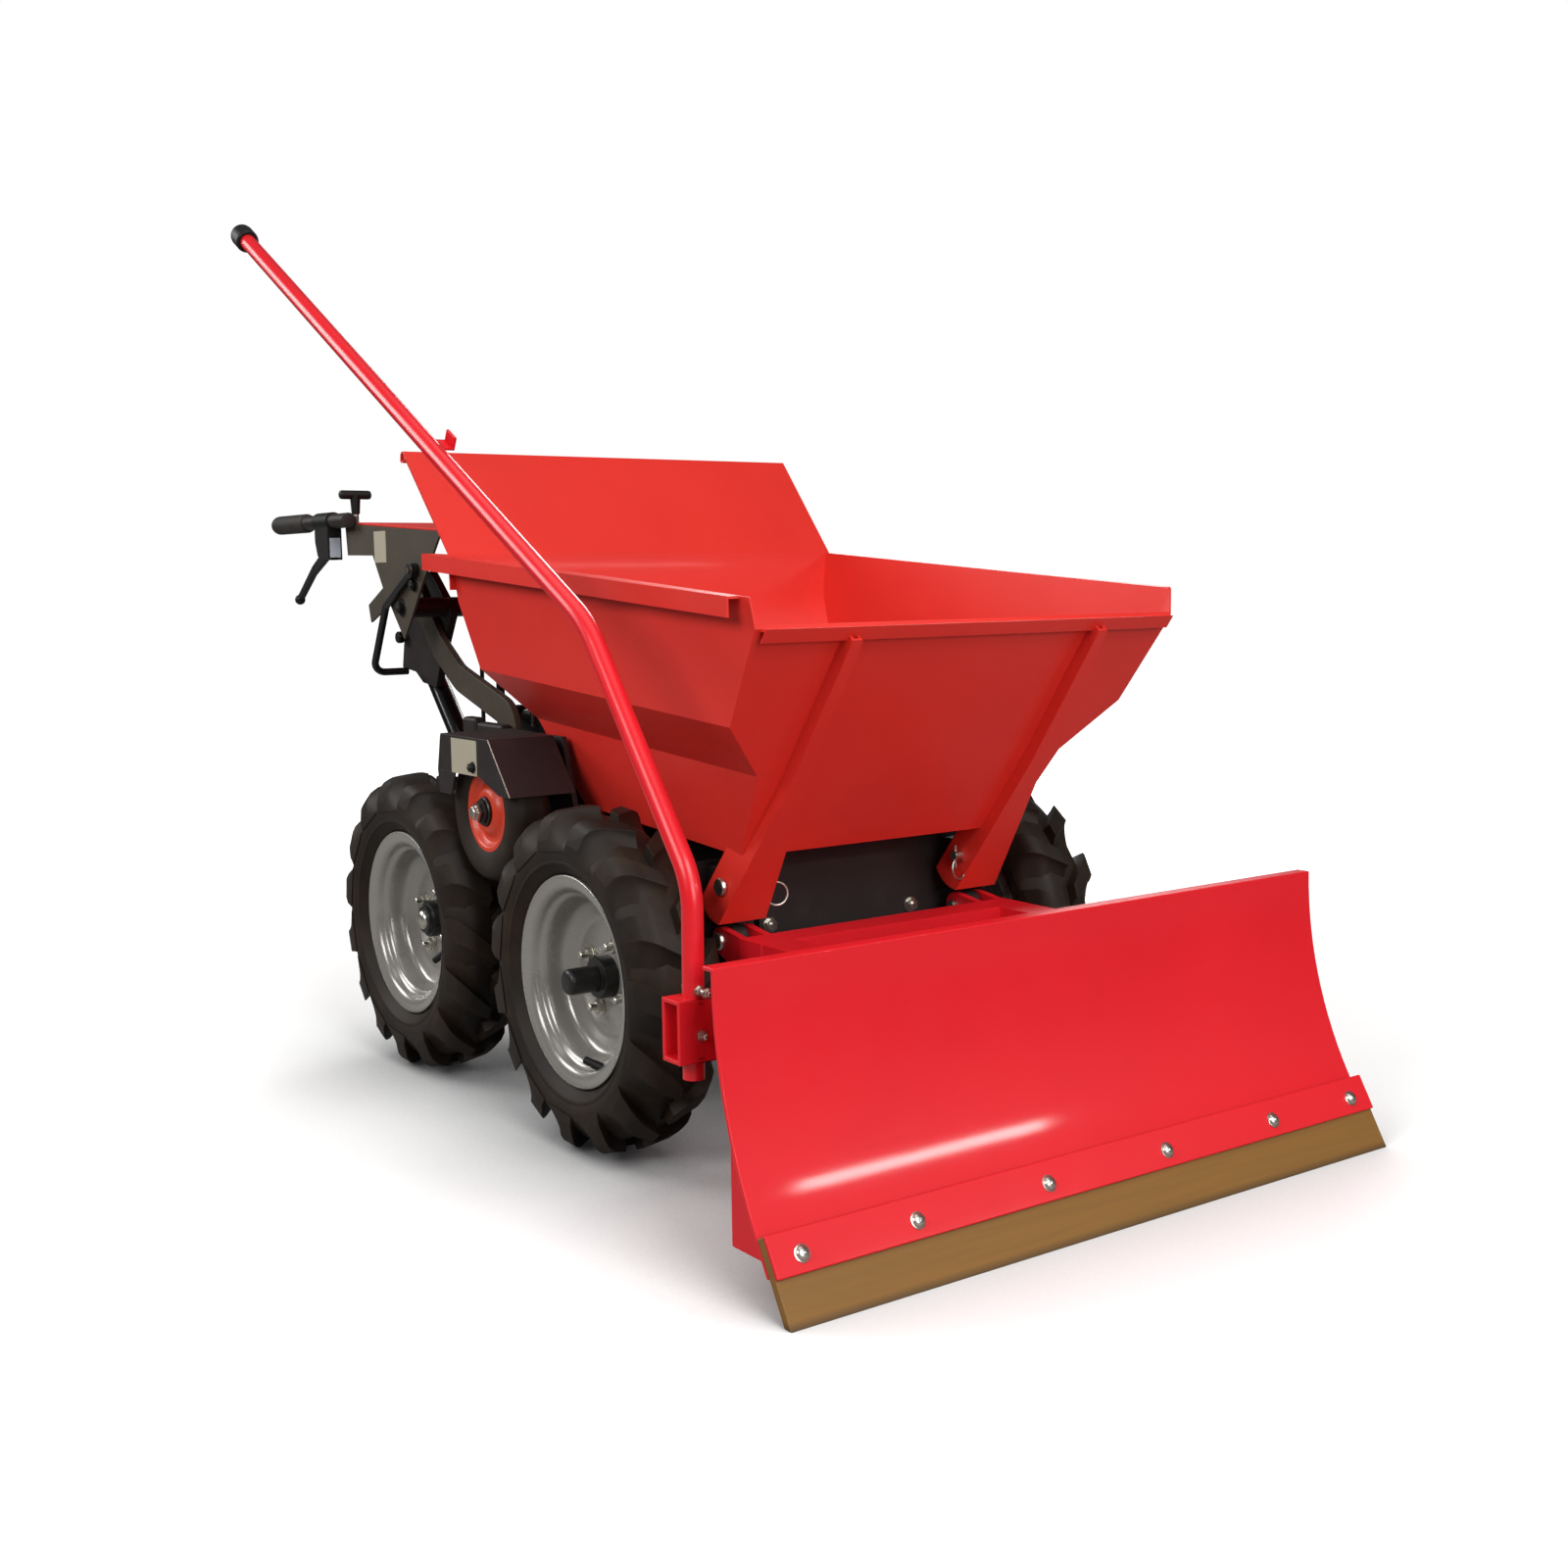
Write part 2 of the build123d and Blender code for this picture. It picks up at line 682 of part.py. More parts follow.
# Skip legs: tapered channels along the front panel, open to the rear, bored for the pivot pins
slope = math.radians(front_slope)
ahead = Vector(math.cos(slope), 0, -math.sin(slope))
leg_foot = Vector(pivot[0], 0, pivot[1]) + ahead * leg_to_pivot
leg_face = Plane(origin=leg_foot, x_dir=(0, 1, 0), z_dir=ahead)
leg_up = (lip_z - lip_drop - leg_foot.Z) / math.cos(slope)


def leg_wedge(inset, front, back):
    foot, knee, head = [w / 2 - inset for w in (leg_foot_width, leg_knee_width, leg_head_width)]
    right = [(foot, -2 * leg_end_radius), (foot, leg_foot_run), (knee, leg_knee_run), (head, leg_up)]
    left = [(-y, run) for y, run in reversed(right)]
    outline = Polyline(*[(leg_centre + y, run) for y, run in right + left], close=True)
    return extrude(leg_face.offset(-front) * make_face(outline), -(back - front))


leg = leg_wedge(0, 0, leg_depth) - leg_wedge(leg_sheet, leg_sheet, leg_depth + 1) - tub_outer - tub
below = Plane(origin=(pivot[0], 0, pivot[1]), x_dir=(0, 1, 0), z_dir=ahead)
foot_half = leg_foot_width
foot_box = Box(2 * foot_half, 4 * leg_end_radius, 8 * leg_depth)
foot_zone = below * Pos(leg_centre, -2 * leg_end_radius, 0) * foot_box
leg -= foot_zone - y_rod(leg_end_radius, 0, 2 * leg_centre, *pivot)
leg -= y_rod(pivot_pin_radius + running_gap, 0, 2 * leg_centre, *pivot)
leg = max(leg.solids(), key=lambda s: s.volume)
save("skip_leg_left", leg)
save("skip_leg_right", mirrored(leg))

# Hinge pins, each with a head on its outer side
taper = (leg_foot_width - leg_knee_width) / (leg_knee_run - leg_foot_run) / 2
leg_half = leg_foot_width / 2 + (leg_foot_run + pin_head_radius) * taper
leg_outer = leg_centre + leg_half
leg_inner = leg_centre - leg_half
pivot_pin = y_rod(pivot_pin_radius, leg_inner - 10, leg_outer + rest_gap, *pivot)
pivot_pin += y_rod(pin_head_radius, leg_outer + rest_gap, leg_outer + rest_gap + pin_head_height, *pivot)
fork_in = leg_centre - ear_half_width - fork_gap
fork_out = leg_centre + ear_half_width + fork_gap
fork_end = fork_out + fork_plate
hinge_pin = y_rod(hinge_pin_radius, fork_in - fork_plate - 8, fork_end + rest_gap, *hinge)
hinge_pin += y_rod(pin_head_radius, fork_end + rest_gap, fork_end + rest_gap + pin_head_height, *hinge)
save("hinge_pins", Compound(children=[*pair(pivot_pin).solids(), *pair(hinge_pin).solids()]))

# Rubber buffers between the deck and the raked skip floor
rest_block = Pos(0, 0, -rest_gap) * tub_outer
buffers = []
for x in buffer_stations:
    post = Pos(x, buffer_spread, deck_top + 30) * Cylinder(buffer_radius, 60) - rest_block
    buffers += [s for s in pair(post).solids()]
save("skip_buffers", Compound(children=buffers))

# Blade: rolled mouldboard with a straight lower strip and a rear top flange
lean_top, lean_foot = math.radians(blade_top_lean), math.radians(blade_foot_lean)
roll_radius = (blade_top[1] - blade_bend_z) / (math.sin(lean_foot) - math.sin(lean_top))
roll_centre = (
    blade_top[0] + roll_radius * math.cos(lean_top), blade_top[1] + roll_radius * math.sin(lean_top)
)


def roll_point(lean, depth):
    # Point of the roll where it leans by this angle, this deep behind the front face
    reach = roll_radius + depth
    return (roll_centre[0] - reach * math.cos(lean), roll_centre[1] - reach * math.sin(lean))


def strip_point(z, depth):
    # Point of the straight lower strip at height z of its front face, this deep behind it
    bend = roll_point(lean_foot, 0)
    x = bend[0] + (bend[1] - z) * math.tan(lean_foot)
    return (x - depth * math.cos(lean_foot), z - depth * math.sin(lean_foot))


def roll_arc(lean_from, depth):
    return ThreePointArc(
        roll_point(lean_from, depth), roll_point((lean_from + lean_foot) / 2, depth),
        roll_point(lean_foot, depth),
    )


def across(edges, half):
    face = make_face([e for run in edges for e in run.edges()])
    return extrude(Plane.XZ.offset(-half) * face, 2 * half)


lean_under = math.asin((roll_radius * math.sin(lean_top) + blade_sheet) / (roll_radius + blade_sheet))
front_arc, rear_arc = roll_arc(lean_top, 0), roll_arc(lean_under, blade_sheet)
flange_end = blade_top[0] - blade_flange
board_outline = (
    front_arc,
    Polyline(
        roll_point(lean_foot, 0), strip_point(blade_foot_z, 0),
        strip_point(blade_foot_z, blade_sheet), roll_point(lean_foot, blade_sheet),
    ),
    rear_arc,
    Polyline(
        roll_point(lean_under, blade_sheet), (flange_end, blade_top[1] - blade_sheet),
        (flange_end, blade_top[1]), roll_point(lean_top, 0),
    ),
)
board = across(board_outline, blade_half)
strip_axis = Vector(math.cos(lean_foot), 0, math.sin(lean_foot))
bolt_spacing = 2 * edge_bolt_spread / (edge_bolt_count - 1)
clamp_front = -edge_thickness - clamp_thickness
bolt_centre = strip_point(edge_bolt_z, clamp_front)
bolt_places = [
    Plane(
        origin=(bolt_centre[0], n * bolt_spacing - edge_bolt_spread, bolt_centre[1]),
        x_dir=(0, 1, 0),
        z_dir=strip_axis,
    ).location
    for n in range(edge_bolt_count)
]
stack = blade_sheet - clamp_front
hole_end = (Align.CENTER, Align.CENTER, Align.MAX)
edge_holes = [p * Cylinder(edge_bolt_radius + seat_gap, 2 * stack, align=hole_end) for p in bolt_places]
save("moldboard", board - edge_holes)

ground_z = 0.0


def strip_slab(z_low, z_high, front, back, half):
    return slab(
        [
            strip_point(z_low, front), strip_point(z_high, front),
            strip_point(z_high, back), strip_point(z_low, back),
        ],
        -half,
        half,
    )


# Cutting edge on the mouldboard's face, held by a clamp strip and a row of bolts
cutting_edge = strip_slab(ground_z - 60, edge_top_z, -edge_thickness, 0, blade_half) - edge_holes
cutting_edge -= block(
    strip_point(0, 0)[0] - 200, strip_point(0, 0)[0] + 200, -2 * blade_half, 2 * blade_half,
    ground_z - 200, ground_z,
)
save("cutting_edge", cutting_edge)
clamp = strip_slab(clamp_foot_z, edge_top_z, clamp_front, -edge_thickness, blade_half) - edge_holes
save("clamp_strip", clamp)
bolt = Cylinder(edge_bolt_radius, stack, align=hole_end)
bolt += hex_prism(edge_bolt_head, edge_bolt_height)
bolt += Pos(0, 0, -stack - edge_bolt_height) * hex_prism(edge_bolt_head, edge_bolt_height)
save("edge_bolts", Compound(children=[s for p in bolt_places for s in (p * bolt).solids()]))

# Beam behind the blade, open at its ends, pierced by the lift lever
beam_rear, beam_front = beam_x - beam_width / 2, beam_x + beam_width / 2
beam_low, beam_high = beam_z - beam_height / 2, beam_z + beam_height / 2
beam = block(beam_rear, beam_front, -beam_half, beam_half, beam_low, beam_high)
beam -= block(
    beam_rear + beam_wall, beam_front - beam_wall, -beam_half - 1, beam_half + 1,
    beam_low + beam_wall, beam_high - beam_wall,
)
beam -= Pos(beam_x, lever_plane, beam_z) * Cylinder(lever_radius + seat_gap, 2 * beam_height)
save("blade_beam", beam)

# Push frame: cross tube, two arms to the beam and a fork at each hinge ear
push_high = hinge[1] + 11
push_low = push_high - push_tube
push_front = push_rear + push_tube
push = block(push_rear, push_front, -push_half, push_half, push_low, push_high)
fork = slab(
    [
        (hinge[0], hinge[1] - ear_radius), (push_rear, push_low), (push_rear, push_high),
        (hinge[0], hinge[1] + ear_radius),
    ],
    fork_out,
    fork_out + fork_plate,
)
fork += y_rod(ear_radius, fork_out, fork_out + fork_plate, *hinge)
fork -= y_rod(hinge_pin_radius + running_gap, fork_out, fork_out + fork_plate, *hinge)
inner_fork = Pos(0, fork_in - fork_plate - fork_out, 0) * fork
arm = block(
    push_front, beam_rear, leg_centre - push_tube / 2, leg_centre + push_tube / 2, push_low, push_high
)
push += [fork, inner_fork, arm, mirrored(fork), mirrored(inner_fork), mirrored(arm)]
save("blade_frame", push)

# Gussets between the beam and the back of the mouldboard
rib_foot = strip_point(rib_foot_z + blade_sheet * math.sin(lean_foot), blade_sheet)
rib_outline = (
    Polyline(
        roll_point(lean_under, blade_sheet), (flange_end, blade_top[1] - blade_sheet),
        (flange_end, beam_high), (beam_front, beam_high), (beam_front, beam_low), (rib_rear, beam_low - 20),
        (rib_rear, rib_foot_z), rib_foot, roll_point(lean_foot, blade_sheet),
    ),
    rear_arc,
)
rib_face = make_face([e for run in rib_outline for e in run.edges()])
ribs = []
for y in rib_stations:
    rib = extrude(Plane.XZ.offset(-y - rib_plate / 2) * rib_face, rib_plate)
    ribs += pair(rib).solids()
save("blade_ribs", Compound(children=ribs))

# Lift lever: bent tube with a catch and an end cap
lever_path = [
    (beam_x, lever_plane, lever_foot_z), (beam_x, lever_plane, lever_knee_z),
    (lever_elbow[0], lever_plane, lever_elbow[1]), (lever_tip[0], lever_plane, lever_tip[1]),
]
lever = tube_along(lever_path, lever_radius, [lever_knee_bend, lever_elbow_bend], lever_wall)
tip_run = Vector(lever_elbow[0] - lever_tip[0], 0, lever_elbow[1] - lever_tip[1]).normalized()
tip_point = Vector(lever_tip[0], lever_plane, lever_tip[1])
catch_plane = Plane(origin=tip_point + tip_run * catch_run, x_dir=tip_run, z_dir=(0, 1, 0))
catch_root = lever_radius - lever_wall / 2
catch_arm = Pos(0, 0, catch_root) * Box(catch_width, catch_sheet, catch_reach, align=bolt_ends)
catch_end = catch_root + catch_reach
catch_tab = Pos(0, -catch_rise / 2 + catch_sheet / 2, catch_end - catch_sheet / 2) * Box(
    catch_width, catch_rise, catch_sheet
)
lever += [catch_plane.location * catch_arm, catch_plane.location * catch_tab]
save("lift_lever", lever)
cap_place = Plane(origin=tip_point, z_dir=tip_run).location
cap = Pos(0, 0, -6) * Cylinder(cap_radius, cap_length, align=bolt_ends)
cap = fillet(cap.edges().sort_by(Axis.Z)[0], 5)
cap -= Cylinder(lever_radius + seat_gap, cap_length, align=bolt_ends)
save("lever_cap", cap_place * cap)

# Handle arms: curved straps from the bed up to the console
def strap(route, bends, width, y_from, y_to):
    line = FilletPolyline(*[(x, z) for x, z in route], radius=list(bends))
    face = trace(line, line_width=width)
    return extrude(Plane.XZ.offset(-y_to) * face, y_to - y_from)


handle_arm = strap(
    ((arm_foot_x, bed_top), *arm_route), arm_bends, arm_width, arm_inner, arm_inner + arm_plate
)
save("handle_arms", pair(handle_arm))

# Column brackets with round struts down to the bed
column = slab(column_outline, column_inner, arm_inner)
column -= y_rod(cross_tube_radius + seat_gap, 0, 2 * arm_inner, *cross_tube)
strut_y = (column_inner + arm_inner) / 2
strut_line = [(strut_top[0], strut_y, strut_top[1]), (strut_foot_x, strut_y, bed_top)]
strut_run = Vector(strut_foot_x - strut_top[0], 0, bed_top - strut_top[1]).normalized()
strut_start = Vector(*strut_line[0]) - strut_run * 12
strut_end = Vector(*strut_line[1]) + strut_run * 40
strut = tube_along([strut_start, strut_end], strut_radius, 0)
strut -= block(strut_foot_x - 200, strut_foot_x + 200, 0, 2 * strut_y, bed_top - 100, bed_top)
save("column_brackets", pair(column + strut))

cross_end = side_plate_outer
save("cross_tube", y_rod(cross_tube_radius, -cross_end, cross_end, *cross_tube))

# Console: side plates with their necks, red deck and the gear gate
deck_tilt = (deck_rear_z - deck_front_z) / (console_front - deck_rear)


def deck_height(x):
    return deck_front_z + (console_front - x) * deck_tilt


tab_top = handle_z + handle_radius / 2
plate_outline = [
    (console_front, deck_height(console_front) - deck_sheet),
    (deck_rear, deck_height(deck_rear) - deck_sheet),
    (deck_rear - 8, tab_top), (console_rear, tab_top), (console_rear + 8, console_bottom),
    (console_rear + 114, console_bottom - 2), (-474.0, 744.0), (-536.0, 716.0), (-528.0, 687.0),
    (-448.0, 718.0), (-396.0, 662.0), (-370.0, 690.0), (-318.0, 752.0),
]
side_inner = side_plate_outer - side_plate
console_side = slab(plate_outline, side_inner, side_plate_outer)
console_side -= y_rod(cross_tube_radius + seat_gap, 0, 2 * side_plate_outer, *cross_tube)
right_side = mirrored(console_side)
release_y = side_plate_outer + 1 + release_radius
right_side += y_rod(release_stud_radius, -release_y - release_radius - 3, -side_plate_outer, *release_pivot)
save("console_plates", Compound(children=[*console_side.solids(), *right_side.solids()]))
deck = slab(
    [
        (console_front, deck_height(console_front)), (deck_rear, deck_height(deck_rear)),
        (deck_rear, deck_height(deck_rear) - deck_sheet),
        (console_front, deck_height(console_front) - deck_sheet),
    ],
    -side_plate_outer,
    side_plate_outer,
)
save("console_deck", deck)

gate_top = deck_height(deck_rear) - deck_sheet - 8
gate = block(
    console_rear + 4, deck_rear - 4, -side_inner, gate_width - side_inner, console_bottom + 2, gate_top
)
slot_half = (gate_top - gear_pivot[1]) * math.tan(math.radians(gear_swing)) + gear_stem_radius + 1.5
gate -= block(
    gear_pivot[0] - slot_half, gear_pivot[0] + slot_half, gear_plane - gear_stem_radius - 1.5,
    gear_plane + gear_stem_radius + 1.5, gear_pivot[1] - 12, gate_top + 1,
)
gear_pin_half = gear_stem_radius + 1.5
gate += y_rod(lever_pin_radius, gear_plane - gear_pin_half, gear_plane + gear_pin_half, *gear_pivot)
save("gear_gate", gate)

# Gear lever: stem with a T-bar, swinging fore and aft in the gate
stem_base = gear_pivot[1] - 9
gear = Pos(gear_pivot[0], gear_plane, stem_base) * Cylinder(
    gear_stem_radius, gear_bar_z - stem_base, align=bolt_ends
)
gear += y_rod(9, gear_plane - gear_stem_radius, gear_plane + gear_stem_radius, *gear_pivot)
bar_ends = gear_plane - gear_bar_length / 2, gear_plane + gear_bar_length / 2
gear += y_rod(gear_bar_radius, *bar_ends, gear_pivot[0], gear_bar_z)
gear += Pos(gear_pivot[0], gear_plane, gear_neck_z) * Cone(
    gear_neck_radius, gear_neck_radius + 2.5, gear_bar_z - gear_neck_z, align=bolt_ends
)
gear -= y_rod(lever_pin_radius + running_gap, gear_plane - 20, gear_plane + 20, *gear_pivot)
save("gear_lever", gear)

# Handle tubes, grips and perches with hand levers
tube_rear = grip_rear + grip_end_wall
handle_tube = Pos(tube_rear, handle_y, handle_z) * Rot(0, 90, 0) * Cylinder(
    handle_radius, handle_front - tube_rear, align=bolt_ends
)
save("handle_tubes", pair(handle_tube))
grip = Cylinder(grip_radius, grip_length, align=bolt_ends)
grip = fillet(grip.edges().sort_by(Axis.Z)[0], 9)
grip -= Pos(0, 0, grip_end_wall) * Cylinder(handle_radius + seat_gap, grip_length, align=bolt_ends)
grip = Pos(grip_rear, handle_y, handle_z) * Rot(0, 90, 0) * grip
save("grip_left", grip)
save("grip_right", mirrored(grip))

perch_half = hand_lever_plate / 2 + 1
perch_out = handle_y + handle_radius
perch = slab(
    [
        (perch_front, handle_z), (perch_rear, handle_z), (perch_rear, handle_z - 34),
        (perch_rear + 30, perch_bottom + 8), (lever_pivot[0] - 14, perch_bottom), (perch_front, perch_bottom),
    ],
    side_plate_outer + rest_gap,
    perch_out,
)
ring = Pos(perch_rear - ring_length, handle_y, handle_z) * Rot(0, 90, 0) * Cylinder(
    ring_radius, ring_length + perch_front - perch_rear, align=bolt_ends
)
perch += ring
perch -= Pos(perch_rear - 2 * ring_length, handle_y, handle_z) * Rot(0, 90, 0) * Cylinder(
    handle_radius + seat_gap, 4 * ring_length + 2 * (perch_front - perch_rear), align=bolt_ends
)
perch -= block(
    perch_rear - 1, perch_front + 1, 0, side_plate_outer + rest_gap, handle_z - 100, handle_z + 100
)
slot_top = lever_pivot[1] + 15
perch -= block(
    perch_rear - 1, perch_front + 1, handle_y - perch_half, handle_y + perch_half, perch_bottom - 1, slot_top
)
perch += y_rod(lever_pin_radius, handle_y - perch_half, handle_y + perch_half, *lever_pivot)
save("lever_perches", pair(perch))

reach = Vector(hand_lever_tip[0] - lever_pivot[0], 0, hand_lever_tip[1] - lever_pivot[1])
along = reach.normalized()
side_on = Vector(-along.Z, 0, along.X)


def lever_point(share, offset_up):
    point = Vector(lever_pivot[0], 0, lever_pivot[1]) + reach * share - side_on * offset_up
    return (point.X, point.Z)


hand_lever = slab(
    [
        lever_point(0, 9), lever_point(0.45, 13), lever_point(1, 4.5),
        lever_point(1, -4.5), lever_point(0.5, 1), lever_point(0, -9),
    ],
    handle_y - hand_lever_plate / 2,
    handle_y + hand_lever_plate / 2,
)
hand_lever += y_rod(9, handle_y - hand_lever_plate / 2, handle_y + hand_lever_plate / 2, *lever_pivot)
hand_lever += Pos(hand_lever_tip[0], handle_y, hand_lever_tip[1]) * Rot(0, 0, 180) * Sphere(hand_lever_ball)
hand_lever -= y_rod(lever_pin_radius + running_gap, handle_y - 20, handle_y + 20, *lever_pivot)
save("brake_lever", hand_lever)
save("drive_lever", mirrored(hand_lever))

# Bent rod that releases the skip: an eye on the side plate's stud, a foot turned inwards
release_path = [
    (release_pivot[0], -release_y, release_pivot[1]), (release_elbow[0], -release_y, release_elbow[1]),
    (release_foot[0], -release_y, release_foot[1]),
    (release_foot[0], -arm_inner - arm_plate - 6, release_foot[1]),
]
release = tube_along(release_path, release_radius, release_bend)
eye_from, eye_to = -release_y - release_radius - 1, -release_y + release_radius + 0.5
release += y_rod(12, eye_from, eye_to, *release_pivot)
release -= y_rod(release_stud_radius + running_gap, eye_from - 5, eye_to + 5, *release_pivot)
save("release_lever", release)

# Control conduits from the console's underside to the bed
runs = []
for x, y, radius in conduits:
    conduit_top = (x, y, deck_height(x) - deck_sheet - 1)
    knee = (x, y, conduit_knee_z)
    shin = (conduit_foot[0], y, conduit_foot[1])
    foot = (conduit_foot[0], y, bed_top)
    runs += tube_along([conduit_top, knee, shin, foot], radius, conduit_bend).solids()
save("control_conduits", Compound(children=runs))

# Engine: crankcase with a finned barrel to the rear, fan cowl, recoil cover and fittings
crankcase = block(
    engine_x - block_half_x, engine_x + block_half_x, -block_half_y, block_half_y, bed_top, block_top
)
crankcase = fillet(crankcase.edges().filter_by(Axis.Z), 18)
barrel_front = engine_x - block_half_x
barrel_rear = barrel_front - barrel_length
core = barrel_half - fin_depth
barrel_z = (bed_top + block_top) / 2
barrel_rise = (block_top - bed_top) / 2 - 4
crankcase += block(
    barrel_rear, barrel_front, -core, core, barrel_z - barrel_rise + 6, barrel_z + barrel_rise - 6
)
fin_pitch = (barrel_length - fin_thickness) / (fin_count - 1)
for n in range(fin_count):
    x = barrel_rear + n * fin_pitch
    crankcase += block(
        x, x + fin_thickness, -barrel_half, barrel_half, barrel_z - barrel_rise, barrel_z + barrel_rise
    )
save("engine_block", crankcase)

cowl_z = block_top
cowl = Pos(engine_x, 0, cowl_z) * Cylinder(cowl_radius, cowl_top - cowl_z, align=bolt_ends)
cowl += block(barrel_rear, engine_x, -barrel_half, barrel_half, cowl_z, cowl_top - 14)
cowl = fillet(cowl.edges().group_by(Axis.Z)[-1], 10)
save("engine_cowl", cowl)

recoil = Pos(engine_x, 0, cowl_top) * Cylinder(recoil_radius, recoil_height, align=bolt_ends)
recoil = fillet(recoil.edges().group_by(Axis.Z)[-1], 8)
slot = Pos(recoil_radius * 0.62, 0, recoil_height) * Box(recoil_radius * 0.42, 7, 12)
recoil -= [Pos(engine_x, 0, cowl_top) * Rot(0, 0, 360 / recoil_slots * n) * slot for n in range(recoil_slots)]
save("recoil_cover", recoil)

tank_y = cowl_radius + rest_gap
tank = block(engine_x - 95, engine_x + 75, tank_y, tank_y + 74, cowl_z, cowl_top + 20)
tank = fillet(tank.edges().filter_by(Axis.Z), 16)
tank = fillet(tank.edges().group_by(Axis.Z)[-1], 12)
fuel_cap = Pos(engine_x - 45, tank_y + 37, cowl_top + 20) * Cylinder(20, 16, align=bolt_ends)
save("fuel_tank", Compound(children=[*tank.solids(), *fuel_cap.solids()]))

cleaner = block(engine_x - 65, engine_x + 55, -tank_y - 76, -tank_y, cowl_z + 14, hood_top + 10)
cleaner = fillet(cleaner.edges().filter_by(Axis.Z), 18)
cleaner = fillet(cleaner.edges().group_by(Axis.Z)[-1], 14)
save("air_cleaner", cleaner)

muffler = block(barrel_rear - 58, barrel_rear, -58, 58, barrel_z - 32, barrel_z + 36)
muffler = fillet(muffler.edges().filter_by(Axis.Y), 12)
save("muffler", muffler)

gear_x = -wheel_base / 2
gearbox = block(
    gear_x - gearbox_half_x, gear_x + gearbox_half_x, -gearbox_half_y, gearbox_half_y, gearbox_bottom, bed_z
)
gearbox = fillet(gearbox.edges().filter_by(Axis.Y), 26)
save("gearbox", gearbox)
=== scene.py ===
import json
import math

import bmesh
import bpy
from mathutils import Matrix, Vector

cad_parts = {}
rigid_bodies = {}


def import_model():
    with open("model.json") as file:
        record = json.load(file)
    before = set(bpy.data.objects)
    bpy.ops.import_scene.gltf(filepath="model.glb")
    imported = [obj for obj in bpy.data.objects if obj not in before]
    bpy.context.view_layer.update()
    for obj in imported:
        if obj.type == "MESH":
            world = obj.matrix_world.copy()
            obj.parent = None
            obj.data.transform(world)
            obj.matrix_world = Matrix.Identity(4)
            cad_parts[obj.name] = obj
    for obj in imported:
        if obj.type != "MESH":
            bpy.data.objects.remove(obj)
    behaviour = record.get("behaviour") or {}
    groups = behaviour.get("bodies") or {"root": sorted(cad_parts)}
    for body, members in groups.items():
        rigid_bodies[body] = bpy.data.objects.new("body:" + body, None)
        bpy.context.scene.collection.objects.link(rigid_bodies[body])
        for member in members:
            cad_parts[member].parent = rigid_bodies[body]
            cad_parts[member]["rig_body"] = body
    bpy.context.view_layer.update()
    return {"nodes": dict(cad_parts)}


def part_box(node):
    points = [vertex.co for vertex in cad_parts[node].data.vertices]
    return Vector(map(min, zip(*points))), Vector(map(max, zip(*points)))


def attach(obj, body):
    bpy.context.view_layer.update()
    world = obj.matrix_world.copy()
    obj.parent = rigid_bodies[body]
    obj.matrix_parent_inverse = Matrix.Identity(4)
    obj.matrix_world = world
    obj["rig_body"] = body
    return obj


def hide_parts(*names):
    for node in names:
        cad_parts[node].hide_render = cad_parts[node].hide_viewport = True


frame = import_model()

nodes = frame["nodes"]
mm = 0.001
hands = (("Left", 1), ("Right", -1))
print("frame loaded:", len(nodes), "nodes")


def linear(hexText):
    # sRGB hex to the linear values that shaders read
    parts = [int(hexText[i:i + 2], 16) / 255 for i in (0, 2, 4)]
    return [c / 12.92 if c < 0.04045 else ((c + 0.055) / 1.055) ** 2.4 for c in parts] + [1.0]


def feed(tree, node, inputs):
    # sockets are linked, plain values are set
    for key, value in inputs.items():
        if isinstance(value, bpy.types.NodeSocket):
            tree.links.new(value, node.inputs[key])
        else:
            node.inputs[key].default_value = value


def addNode(tree, kind, inputs, **settings):
    made = tree.nodes.new(kind)
    for key, value in settings.items():
        setattr(made, key, value)
    feed(tree, made, inputs)
    return made


def newMaterial(name):
    material = bpy.data.materials.new(name)
    material.use_nodes = True
    tree = material.node_tree
    place = addNode(tree, "ShaderNodeTexCoord", {}).outputs["Object"]
    return material, tree, tree.nodes["Principled BSDF"], place


# camera: solved from the tyres, the blade and the skip in the photograph
cameraView = dict(
    place=(2.3224, -1.4826, 0.7565), heading=35.65, dip=6.546, roll=-0.768,
    lens=41.38, sensor=36, shiftX=-0.00695, shiftY=-0.00155,
)
heading, dip, roll = [math.radians(cameraView[k]) for k in ("heading", "dip", "roll")]
ahead = Vector((-math.cos(heading) * math.cos(dip), math.sin(heading) * math.cos(dip), -math.sin(dip)))
level = ahead.cross(Vector((0, 0, 1))).normalized()
upward = level.cross(ahead)
right = level * math.cos(roll) + upward * math.sin(roll)
above = upward * math.cos(roll) - level * math.sin(roll)
cameraData = bpy.data.cameras.new("photoCamera")
cameraData.lens = cameraView["lens"]
cameraData.sensor_width = cameraView["sensor"]
cameraData.shift_x = cameraView["shiftX"]
cameraData.shift_y = cameraView["shiftY"]
camera = bpy.data.objects.new("photoCamera", cameraData)
facing = Matrix((right, above, -ahead)).transposed().to_4x4()
camera.matrix_world = Matrix.Translation(cameraView["place"]) @ facing
bpy.context.scene.collection.objects.link(camera)
bpy.context.scene.camera = camera

